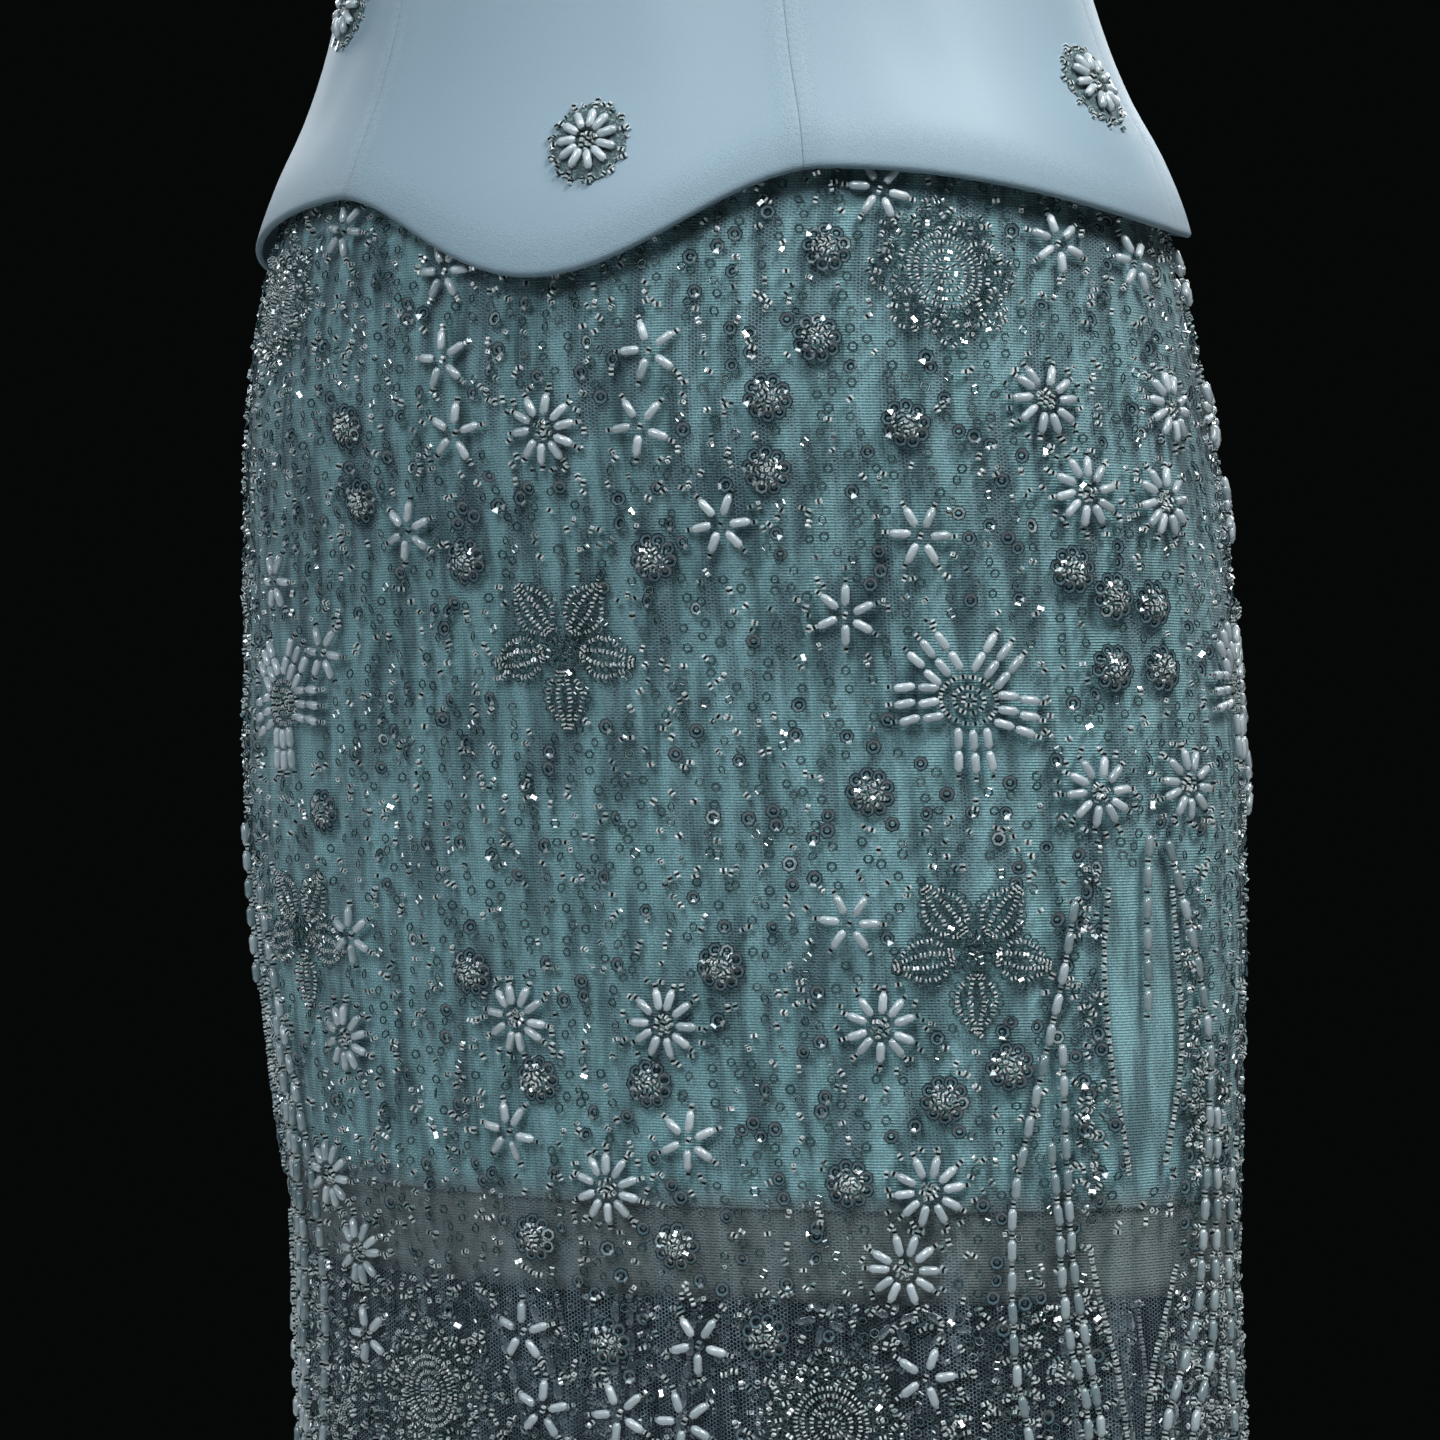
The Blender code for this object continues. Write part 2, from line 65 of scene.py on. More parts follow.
topRings = ringTable(
    (0.225, 0.1500, 0.1010, 0.0900, 0.0), (0.160, 0.1440, 0.1030, 0.0915, 0.0),
    (0.090, 0.1290, 0.0970, 0.0890, 0.0), (0.030, 0.1230, 0.0915, 0.0910, 0.0),
    (0.000, 0.1225, 0.0905, 0.0910, 0.0), (-0.016, 0.1262, 0.0931, 0.0932, 0.0),
    (-0.037, 0.1318, 0.0970, 0.0970, 0.0), (-0.058, 0.1380, 0.1010, 0.1010, 0.0005),
    (-0.078, 0.1460, 0.1060, 0.1050, 0.0010), (-0.098, 0.1566, 0.1125, 0.1110, 0.0015),
    (-0.118, 0.1640, 0.1195, 0.1170, 0.0020), (-0.145, 0.1695, 0.1260, 0.1230, 0.0025),
)
skirtRings = ringTable(
    (0.000, 0.1198, 0.0878, 0.0858, 0.0), (-0.036, 0.1276, 0.0930, 0.0915, 0.0),
    (-0.078, 0.1412, 0.1010, 0.1000, 0.0005), (-0.110, 0.1535, 0.1105, 0.1075, 0.0010),
    (-0.139, 0.1616, 0.1175, 0.1140, 0.0018), (-0.179, 0.1686, 0.1215, 0.1220, 0.0035),
    (-0.220, 0.1728, 0.1180, 0.1275, 0.0055), (-0.260, 0.1748, 0.1130, 0.1280, 0.0062),
    (-0.300, 0.1770, 0.1090, 0.1240, 0.0075), (-0.340, 0.1765, 0.1060, 0.1190, 0.0090),
    (-0.380, 0.1742, 0.1040, 0.1150, 0.0110), (-0.431, 0.1698, 0.1030, 0.1115, 0.0145),
    (-0.4595, 0.1675, 0.1020, 0.1100, 0.0160), (-0.520, 0.1672, 0.1020, 0.1090, 0.0190),
    (-0.700, 0.1670, 0.1045, 0.1085, 0.0250), (-0.900, 0.1700, 0.1090, 0.1130, 0.0285),
    (-1.060, 0.1770, 0.1180, 0.1240, 0.0290),
)
topShape = {
    "hemCrest": -0.1110, "hemFrontDip": 0.0320, "hemSideDip": 0.0135, "crestAngle": math.radians(33),
    "neckFront": 0.1900, "neckBack": 0.1500, "neckCupRise": 0.0260,
    "cupRise": 0.0170, "cupAngle": math.radians(38), "cupSpread": math.radians(24),
    "cupHeight": 0.1450, "cupReach": 0.0520,
    "seamRidge": 0.0012, "ridgeAngle": math.radians(30), "ridgeSpread": math.radians(5),
}
skirtShape = {"fluteCount": 8, "fluteDepth": 0.0060, "fluteTop": -0.4800, "fluteGrowth": 1.5, "hem": -1.0600}

# Soft creases: degrees round, height, half width, half length, degrees of lean from the vertical, and depth,
# which is minus in a trough
skirtCreases = (
    (-58, -0.215, 0.007, 0.050, 10, -0.0009), (-47, -0.400, 0.009, 0.070, -7, 0.0011),
    (-24, -0.345, 0.010, 0.080, 5, -0.0009), (-12, -0.440, 0.008, 0.060, -4, 0.0008),
    (6, -0.300, 0.009, 0.075, 3, 0.0007), (19, -0.405, 0.011, 0.085, -6, -0.0010),
    (33, -0.215, 0.008, 0.060, 9, -0.0008), (56, -0.440, 0.008, 0.090, -5, -0.0013),
    (63, -0.375, 0.005, 0.055, 4, 0.0010), (69, -0.395, 0.005, 0.060, -3, -0.0010),
    (82, -0.300, 0.008, 0.070, -9, 0.0010), (104, -0.370, 0.009, 0.080, 6, -0.0011),
    (123, -0.250, 0.010, 0.070, -8, 0.0010), (141, -0.430, 0.009, 0.080, 5, -0.0009),
    (163, -0.330, 0.011, 0.090, -4, 0.0010), (186, -0.410, 0.009, 0.075, 6, -0.0011),
    (205, -0.240, 0.010, 0.060, 8, -0.0009), (221, -0.380, 0.009, 0.085, -6, 0.0011),
    (248, -0.300, 0.008, 0.070, 5, -0.0010), (262, -0.420, 0.008, 0.080, -4, 0.0010),
)
topCreases = (
    (-68, 0.010, 0.034, 0.0055, 12, -0.0010), (-60, 0.026, 0.030, 0.0050, -8, 0.0008),
    (72, 0.006, 0.036, 0.0055, -10, -0.0010), (64, 0.024, 0.028, 0.0050, 9, 0.0008),
    (118, 0.012, 0.034, 0.0060, 8, -0.0011), (-124, 0.016, 0.032, 0.0055, -9, -0.0011),
    (-44, -0.062, 0.012, 0.034, 14, -0.0008), (14, -0.060, 0.016, 0.040, -8, 0.0007),
    (47, -0.072, 0.013, 0.034, -12, -0.0008), (-12, 0.120, 0.012, 0.050, 6, -0.0009),
)


def bell(distance, spread):
    # one in the middle, falling as the exponential of minus the squared distance over the spread
    return np.exp(-(distance / spread) ** 2)


def waves(rows, place, shift=1.0):
    # sines added up; a row is the depth, the turns' rate along the place and the start in radians
    return sum(depth * np.sin(rate * place + start * shift) for depth, rate, start in rows)


def wrapped(angle):
    # the same direction as an angle from minus a half turn to a half turn
    return np.arctan2(np.sin(angle), np.cos(angle))


def alongTable(table, column, place, along="height"):
    # cubic through the rows; an inner slope is its neighbours' harmonic mean, or zero at a turning point
    x, y = table[along], table[column]
    step = np.diff(x)
    slope = np.diff(y) / step
    before, after = slope[:-1], slope[1:]
    turning = before * after <= 0
    inner = np.where(turning, 0.0, 2 * before * after / np.where(turning, 1.0, before + after))
    tangent = np.concatenate([slope[:1], inner, slope[-1:]])
    place = np.clip(place, x[0], x[-1])
    i = np.clip(np.searchsorted(x, place) - 1, 0, len(step) - 1)
    share = (place - x[i]) / step[i]
    rise, fall = tangent[i] * step[i], tangent[i + 1] * step[i]
    return (y[i] * (1 + 2 * share) * (1 - share) ** 2 + rise * share * (1 - share) ** 2
            + y[i + 1] * share ** 2 * (3 - 2 * share) - fall * share ** 2 * (1 - share))


def creased(creases, rings, angle, height):
    # the creases' depths added up, each a bell across its line times a bell along it
    total = np.zeros(np.broadcast(angle, height).shape)
    for degrees, level, halfWidth, halfLength, lean, depth in creases:
        middle = math.radians(degrees)
        across = wrapped(angle - middle) * alongTable(rings, "side", level)
        up = height - level
        tilt = math.radians(lean)
        sideways = across * math.cos(tilt) - up * math.sin(tilt)
        lengthways = across * math.sin(tilt) + up * math.cos(tilt)
        total = total + depth * bell(sideways, halfWidth) * bell(lengthways, halfLength)
    return total


def ringPoint(rings, angle, height, swell):
    # x is the side size times the sine of the angle, y the front or back size times its cosine; both grow by
    # the swell
    angle, height, swell = np.broadcast_arrays(angle, height, swell)
    front, back = alongTable(rings, "front", height), alongTable(rings, "back", height)
    x = alongTable(rings, "side", height) * np.sin(angle)
    y = -np.where(np.cos(angle) > 0, front, back) * np.cos(angle)
    grown = 1 + swell / np.hypot(x, y)
    return np.stack([x * grown + alongTable(rings, "sway", height), y * grown, height], axis=-1)


def topSurface(angle, height):
    # oval rings with a cup on each side of the bust, a low ridge on each front seam, and soft creases
    turn = np.abs(wrapped(angle))
    cup = topShape["cupRise"] * bell(turn - topShape["cupAngle"], topShape["cupSpread"])
    cup = cup * bell(height - topShape["cupHeight"], topShape["cupReach"])
    ridge = topShape["seamRidge"] * bell(turn - topShape["ridgeAngle"], topShape["ridgeSpread"])
    return ringPoint(topRings, angle, height, cup + ridge + creased(topCreases, topRings, angle, height))


def skirtSurface(angle, height):
    # oval rings, flutes that grow from the thigh down as a cosine round the hem, and soft creases
    top, hem = skirtShape["fluteTop"], skirtShape["hem"]
    grown = np.clip((top - height) / (top - hem), 0, 1) ** skirtShape["fluteGrowth"]
    flute = skirtShape["fluteDepth"] * grown * np.cos(skirtShape["fluteCount"] * angle)
    return ringPoint(skirtRings, angle, height, flute + creased(skirtCreases, skirtRings, angle, height))


def topHem(angle):
    # a cosine wave: low at the centres, highest at each crest, a little lower at the sides
    turn = np.abs(wrapped(angle))
    turn = np.minimum(turn, math.pi - turn)
    crest = topShape["crestAngle"]
    middle = topShape["hemFrontDip"] * (0.5 + 0.5 * np.cos(math.pi * turn / crest))
    side = topShape["hemSideDip"] * (0.5 - 0.5 * np.cos(math.pi * (turn - crest) / (math.pi / 2 - crest)))
    return topShape["hemCrest"] - np.where(turn < crest, middle, side)


def topNeck(angle):
    # a bell over each cup, falling as a cosine from the front to the back
    turn = np.abs(wrapped(angle))
    fall = (topShape["neckFront"] - topShape["neckBack"]) * (0.5 - 0.5 * np.cos(turn))
    cup = topShape["neckCupRise"] * bell(turn - topShape["cupAngle"], topShape["cupSpread"])
    return topShape["neckFront"] - fall + cup


def unit(vectors):
    return vectors / np.linalg.norm(vectors, axis=-1, keepdims=True)


def clothFrame(surface, angle, height, step=0.001):
    # unit directions round, up and outward at points of a surface, and metres for each radian round
    aroundIt = (surface(angle + step, height) - surface(angle - step, height)) / (2 * step)
    upIt = surface(angle, height + step) - surface(angle, height - step)
    outward = unit(np.cross(aroundIt, upIt))
    up = unit(upIt)
    return np.cross(up, outward), up, outward, np.linalg.norm(aroundIt, axis=-1)


# FINISHES
class Wire:
    # a socket that can stand in an expression; each operator adds one Math node
    def __init__(self, finish, socket):
        self.finish, self.socket = finish, socket

    def joined(self, operation, *values):
        return self.finish.node("ShaderNodeMath", dict(enumerate(values)), operation=operation)

    def __add__(self, other):
        return self.joined("ADD", self, other)

    def __sub__(self, other):
        return self.joined("SUBTRACT", self, other)

    def __mul__(self, other):
        return self.joined("MULTIPLY", self, other)

    def cosine(self):
        return self.joined("COSINE", self)

    def ramped(self, low, high, start=0.0, end=1.0):
        # smooth step from start to end while the value goes from low to high
        sockets = {"Value": self, "From Min": low, "From Max": high, "To Min": start, "To Max": end}
        return self.finish.node("ShaderNodeMapRange", sockets, interpolation_type="SMOOTHSTEP")

    def faded(self, low, high):
        # one below the low value, smoothly down to zero at the high one
        return self.ramped(low, high, 1.0, 0.0)

    __radd__, __rmul__ = __add__, __mul__


class Finish:
    # one material; node() adds any node, its settings first, then the values or wires of its sockets
    def __init__(self, name, **uniform):
        self.material = bpy.data.materials.new(name)
        self.material.use_nodes = True
        self.tree = self.material.node_tree
        self.shader = self.tree.nodes["Principled BSDF"]
        self.feed(**uniform)

    def plug(self, node, sockets):
        for name, value in sockets.items():
            if isinstance(value, Wire):
                self.tree.links.new(value.socket, node.inputs[name])
            else:
                node.inputs[name].default_value = value

    def feed(self, **sockets):
        self.plug(self.shader, {name.replace("_", " "): value for name, value in sockets.items()})

    def node(self, kind, sockets=None, out=0, **settings):
        made = self.tree.nodes.new(kind)
        for name, value in settings.items():
            setattr(made, name, value)
        self.plug(made, sockets or {})
        return Wire(self, made.outputs[out])

    def place(self):
        return self.node("ShaderNodeTexCoord", out=3)

    def value(self, attribute):
        return self.node("ShaderNodeAttribute", out=2, attribute_name=attribute)

    def clothPlace(self):
        # metres round the cloth and up it, as two wires, and as a vector
        cloth = self.node("ShaderNodeUVMap", uv_map="cloth")
        across = self.node("ShaderNodeSeparateXYZ", {0: cloth})
        return across, Wire(self, across.socket.node.outputs[1]), cloth

    def noise(self, vector, scale, detail=2.0, roughness=0.5):
        sockets = {"Vector": vector, "Scale": scale, "Detail": detail, "Roughness": roughness}
        return self.node("ShaderNodeTexNoise", sockets)

    def stretched(self, vector, scale):
        return self.node("ShaderNodeMapping", {"Vector": vector, "Scale": scale})

    def blended(self, share, first, second):
        return self.node("ShaderNodeMix", {0: share, 6: first, 7: second}, out=2, data_type="RGBA")

    def bumped(self, height, distance, strength=1.0):
        return self.node("ShaderNodeBump", {"Height": height, "Distance": distance, "Strength": strength})


def satinFinish():
    # frosted grain that thickens towards the hem and the seams, a painted highlight along each seam, a thin
    # line of painted shade in each seam's groove and painted shade darkening the hem; a pair holds the
    # distances from the hem or the seam between which an effect fades
    look = {
        "light": (0.330, 0.458, 0.550, 1), "shade": (0.255, 0.368, 0.452, 1), "edge": (0.10, 0.17, 0.21, 1),
        "grainScale": 1600, "cloudScale": 9, "stitchPitch": 0.0026, "rolled": (0.0002, 0.0030),
        "shadedHem": (0.002, 0.014), "frostedHem": (0.003, 0.020), "seamLine": (0.0001, 0.0008),
        "stitches": (0.0022, 0.0030), "frostedSeam": (0.002, 0.010), "ridge": (0.001, 0.007),
    }
    made = Finish("iceSatin", Sheen_Weight=0.15, Sheen_Roughness=0.35, Specular_IOR_Level=0.38)
    across, up, cloth = made.clothPlace()
    grain = made.noise(made.place(), look["grainScale"], 3.0, 0.8)
    cloudy = made.noise(made.place(), look["cloudScale"], 2.0)
    seam, rise = made.value("seam"), made.value("rise")
    seamLine, ridge = seam.faded(*look["seamLine"]), seam.faded(*look["ridge"])
    stitch = (up * (2 * math.pi / look["stitchPitch"])).cosine().ramped(-0.2, 0.4)
    stitch = stitch * seam.faded(*look["stitches"])
    frosted = rise.faded(*look["frostedHem"]) * 1.1 + seam.faded(*look["frostedSeam"]) * 0.6 + 0.14
    speckle = (grain - 0.5) * frosted
    # painted shade: the next line darkens the rolled hem and, speckled by the grain, the cloth just above it
    # towards the edge colour
    hemShade = rise.faded(*look["rolled"]) * 0.55 + rise.faded(*look["shadedHem"]) * grain.ramped(0.35, 0.65) * 0.28
    # painted highlight: the satin is made lighter along each seam
    ground = made.blended(cloudy * 0.8 + speckle * 5.5 + ridge * 0.5 + 0.1, look["shade"], look["light"])
    # painted shade: a thin darker line in each seam's groove; the stitches beside it are the cloth's own
    made.feed(
        Base_Color=made.blended(hemShade + seamLine * 0.08 + stitch * 0.04, ground, look["edge"]),
        Roughness=grain * 0.20 + 0.38,
        Normal=made.bumped(speckle * 1.8 - seamLine * 0.25 - stitch * 0.15, 0.00025, 0.8),
    )
    return made.material


def netFinish():
    # honeycomb tulle: three cosines whose lowest values make the threads round each hole
    look = {"thread": (0.31, 0.43, 0.52, 1), "deep": (0.11, 0.17, 0.22, 1), "hole": 0.0011, "haze": 0.02,
            "streakScale": (160, 14, 1)}
    made = Finish("aquaTulle", Roughness=0.65, Sheen_Weight=0.2)
    across, up, cloth = made.clothPlace()
    turn = 2 * math.pi / look["hole"]
    lean = turn * math.sqrt(3) / 2
    cells = (across * turn).cosine() + (across * (turn / 2) + up * lean).cosine()
    cells = cells + (across * (turn / 2) - up * lean).cosine()
    threads = cells.faded(-1.15, -0.35)
    streak = made.noise(made.stretched(cloth, look["streakScale"]), 1.0, 2.0)
    made.feed(
        Base_Color=made.blended(streak.ramped(0.35, 0.65), look["deep"], look["thread"]),
        Alpha=threads * (streak * 0.40 + 0.25) + look["haze"],
        Normal=made.bumped(threads, 0.0002, 0.5),
    )
    return made.material


knits = {
    "slip": {"name": "aquaJersey", "light": (0.350, 0.70, 0.745, 1), "shade": (0.030, 0.095, 0.110, 1),
             "foot": (0.16, 0.22, 0.22, 1), "footReach": 0.012, "streaks": 0.62},
    "underslip": {"name": "paleJersey", "light": (0.24, 0.285, 0.275, 1), "shade": (0.11, 0.15, 0.15, 1),
                  "foot": (0.035, 0.045, 0.050, 1), "footReach": 0.009, "streaks": 0.372},
}
knitSizes = {"rowPitch": 0.0009, "loopPitch": 0.001125, "wander": 0.0005, "streakScale": (150, 26, 1),
             "shadeUnderTop": (0.09, 0.26)}


def knitFinish(look):
    # fine cross lines of stitches, soft upright streaks of painted light and shade, broad lighter and darker
    # patches, painted shade high up under the top's hem, and the foot colour near the hem: grey on the slip,
    # near black on the underslip
    made = Finish(look["name"], Roughness=0.8, Sheen_Weight=0.25, Sheen_Roughness=0.5)
    across, up, cloth = made.clothPlace()
    wander = made.noise(cloth, 120, 2.0)
    rows = ((up + wander * knitSizes["wander"]) * (2 * math.pi / knitSizes["rowPitch"])).cosine()
    loops = (across * (2 * math.pi / knitSizes["loopPitch"])).cosine()
    # painted light and shade: soft upright streaks in the knit's colour, like the shadows that beads and
    # small folds throw
    streak = made.noise(made.stretched(cloth, knitSizes["streakScale"]), 1.0, 2.0, 0.5).ramped(0.34, 0.62)
    patch = made.noise(made.place(), 16, 2.0)
    # painted shade: the knit is made darker high up, under the top's hem
    shadeUnderTop = made.value("rise").ramped(*knitSizes["shadeUnderTop"])
    lightness = streak * look["streaks"] + rows * 0.18 + loops * 0.05 + patch * 0.40 - shadeUnderTop * 0.24
    low = (made.value("rise") + wander * 0.006).faded(0.002, look["footReach"])
    made.feed(
        Base_Color=made.blended(low, made.blended(lightness, look["shade"], look["light"]), look["foot"]),
        Normal=made.bumped(rows * 0.5 + loops * 0.2 + streak * 2.2, 0.00035, 0.8),
    )
    return made.material


def pearlFinish():
    look = {"satin": (0.57, 0.66, 0.71, 1), "green": (0.14, 0.22, 0.24, 1), "end": (0.05, 0.08, 0.09, 1)}
    made = Finish("ricePearl", Roughness=0.24, Coat_Weight=0.9, Coat_Roughness=0.10, Specular_IOR_Level=0.8)
    tint, end = made.value("tint"), made.value("end")
    silky = made.noise(made.place(), 900, 2.0)
    body = made.blended(tint, look["green"], look["satin"])
    made.feed(
        Base_Color=made.blended(end.ramped(0.45, 0.9), body, look["end"]),
        Roughness=silky * 0.14 + 0.16,
        Normal=made.bumped(silky, 0.00006, 0.4),
    )
    return made.material


def seedFinish():
    # clear tubes lined with silver: the body colour at both ends, with a painted dark reflection across the
    # middle and in the holes
    look = {"bright": (0.78, 0.86, 0.88, 1), "dim": (0.25, 0.37, 0.39, 1), "coreReflection": (0.010, 0.019, 0.022, 1)}
    made = Finish("silverLinedSeed", Roughness=0.14, Specular_IOR_Level=0.9, Coat_Weight=0.5,
                  Coat_Roughness=0.06)
    tint, end = made.value("tint"), made.value("end")
    body = made.blended(tint.ramped(0.0, 0.50), look["dim"], look["bright"])
    # painted dark reflection across the middle of each seed and in its holes
    coreReflectionMask = end.ramped(0.26, 0.34) * end.faded(0.66, 0.74)
    made.feed(
        Base_Color=made.blended(coreReflectionMask, body, look["coreReflection"]),
        Metallic=tint.ramped(0.5, 0.9, 0.05, 0.45),
    )
    return made.material


sequins = {
    "ring": {"name": "ringSequin", "edge": (0.002, 0.012, 0.016, 1), "film": (0.070, 0.165, 0.185, 1),
             "pale": (0.44, 0.62, 0.64, 1), "brightShare": 0.14},
    "cup": {"name": "cupSequin", "edge": (0.005, 0.016, 0.022, 1), "film": (0.070, 0.125, 0.155, 1),
            "pale": (0.50, 0.64, 0.68, 1), "brightShare": 0.08},
}


def sequinFinish(look):
    # see-through film with dark edges, and a few painted pale and more metallic: a painted highlight for
    # sequins that catch the light
    made = Finish(look["name"], Roughness=0.16, Coat_Weight=0.6, Coat_Roughness=0.08)
    tint, end = made.value("tint"), made.value("end")
    # painted highlight: a few sequins are made pale and more metallic, as if catching the light
    bright = tint.ramped(1 - look["brightShare"], 1 - look["brightShare"] * 0.4)
    body = made.blended(bright + made.noise(made.place(), 700, 1.0) * 0.2, look["film"], look["pale"])
    made.feed(
        Base_Color=made.blended(end.ramped(0.10, 0.50), body, look["edge"]),
        Roughness=tint * 0.12 + 0.10,
        Metallic=bright * 0.4 + 0.10,
    )
    return made.material


def backingFinish():
    look = {"deep": (0.045, 0.090, 0.100, 1), "fleck": (0.26, 0.36, 0.38, 1)}
    made = Finish("flowerBacking", Roughness=0.55)
    flecks = made.noise(made.place(), 1500, 2.0, 0.7)
    made.feed(
        Base_Color=made.blended(flecks.ramped(0.50, 0.66), look["deep"], look["fleck"]),
        Normal=made.bumped(flecks, 0.0004, 0.8),
    )
    return made.material


def metalFinish():
    made = Finish("zipMetal", Metallic=1.0, Roughness=0.3, Base_Color=(0.62, 0.67, 0.70, 1))
    brushed = made.noise(made.stretched(made.place(), (900, 900, 9000)), 1.0, 2.0)
    made.feed(Roughness=brushed * 0.25 + 0.18, Normal=made.bumped(brushed, 0.00004, 0.5))
    return made.material


tapes = {
    "tape": {"name": "zipTape", "light": (0.42, 0.54, 0.60, 1), "shade": (0.28, 0.38, 0.44, 1)},
    "band": {"name": "waistTape", "light": (0.24, 0.42, 0.42, 1), "shade": (0.14, 0.28, 0.28, 1)},
}


def tapeFinish(look):
    # herringbone tape: cross threads that change their lean every few millimetres
    made = Finish(look["name"], Roughness=0.75, Sheen_Weight=0.15)
    across, up, cloth = made.clothPlace()
    lean = (across * (2 * math.pi / 0.0030)).cosine() * 1.6
    twill = (up * (2 * math.pi / 0.0008) + lean * 3.0).cosine()
    fuzz = made.noise(made.place(), 1800, 2.0)
    made.feed(
        Base_Color=made.blended(twill * 0.25 + fuzz * 0.5 + 0.25, look["shade"], look["light"]),
        Normal=made.bumped(twill, 0.0002, 0.7),
    )
    return made.material


def floorFinish():
    made = Finish("paleFloor", Roughness=0.85, Specular_IOR_Level=0.2)
    speck = made.noise(made.place(), 60, 3.0)
    made.feed(Base_Color=made.blended(speck, (0.60, 0.62, 0.63, 1), (0.66, 0.68, 0.69, 1)))
    return made.material


finishes = {"satin": satinFinish(), "net": netFinish(), "pearl": pearlFinish(), "seed": seedFinish(),
            "backing": backingFinish(), "metal": metalFinish()}
for looks, finish in ((knits, knitFinish), (sequins, sequinFinish), (tapes, tapeFinish)):
    for kind, look in looks.items():
        finishes[kind] = finish(look)
print("finishes made:", len(finishes))


# MAKING PIECES
def meshPiece(name, points, faces, finish, body="gown", uv=None, values=None, smooth=True, sharp=None):
    # an object from arrays of points and faces of one size, with metres of cloth as UVs and values at points
    mesh = bpy.data.meshes.new(name)
    mesh.vertices.add(len(points))
    mesh.vertices.foreach_set("co", points.astype(np.float32).ravel())
    mesh.loops.add(faces.size)
    mesh.loops.foreach_set("vertex_index", faces.astype(np.int32).ravel())
    mesh.polygons.add(len(faces))
    mesh.polygons.foreach_set("loop_start", np.arange(0, faces.size, faces.shape[1], dtype=np.int32))
    mesh.polygons.foreach_set("use_smooth", np.full(len(faces), smooth))
    mesh.update(calc_edges=True)
    if uv is not None:
        layer = mesh.uv_layers.new(name="cloth")
        layer.data.foreach_set("uv", uv[faces.ravel()].astype(np.float32).ravel())
    for key, data in (values or {}).items():
        attribute = mesh.attributes.new(key, "FLOAT", "POINT")
        attribute.data.foreach_set("value", data.astype(np.float32).ravel())
    mesh.materials.append(finish)
    if sharp:
        mesh.set_sharp_from_angle(angle=math.radians(sharp))
    made = bpy.data.objects.new(name, mesh)
    bpy.context.scene.collection.objects.link(made)
    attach(made, body)
    return made


def gridFaces(columns, rows, loop=False):
    # quads between neighbouring columns and rows; with loop the last row joins the first
    start = np.arange(columns - 1)[:, None] * rows
    row = np.arange(rows if loop else rows - 1)[None, :]
    below = (row + 1) % rows
    return np.stack([start + row, start + below, start + rows + below, start + rows + row], -1).reshape(-1, 4)


def lengthsAlong(points, axis):
    # running length of a grid's lines along one axis, from zero
    steps = np.linalg.norm(np.diff(points, axis=axis), axis=-1)
    start = np.zeros_like(np.take(steps, [0], axis=axis))
    return np.concatenate([start, np.cumsum(steps, axis=axis)], axis=axis)


def cutSize(face):
    # widest row, longest column and area of a grid of points: what the flat cut measures
    across, down = lengthsAlong(face, 0), lengthsAlong(face, 1)
    first, second = face[1:, :-1] - face[:-1, :-1], face[:-1, 1:] - face[:-1, :-1]
    area = np.linalg.norm(np.cross(first, second), axis=-1).sum()
    return float(across[-1].max()), float(down[:, -1].max()), float(area)


def declareCut(piece, face):
    width, length, area = cutSize(face)
    print(f"{piece.name}: cut {width:.3f} x {length:.3f} m, {area:.4f} m2")


# degrees of the three steps round a rim or a hem, metres from a seam to the columns beside it and of its dip
shellSteps = {"bend": (75, 45, 15), "beside": (0.0004, 0.0010, 0.0020, 0.0034), "dipReach": 0.0012}


def seamColumns(start, end, spacing, radius, gap=0.0001):
    # columns from one seam to the next, half a seam gap back from each, and closer together beside the seams
    beside = np.array(shellSteps["beside"])
    start, end = math.radians(start) + gap / 2 / radius, math.radians(end) - gap / 2 / radius
    near = start + beside / radius
    far = end - beside[::-1] / radius
    count = max(2, round((far[0] - near[-1]) * radius / spacing))
    return np.concatenate([[start], near, np.linspace(near[-1], far[0], count + 1)[1:-1], far, [end]])


def level(height):
    # a top or foot edge that is level all the way round
    return lambda angle: 0.0 * angle + height


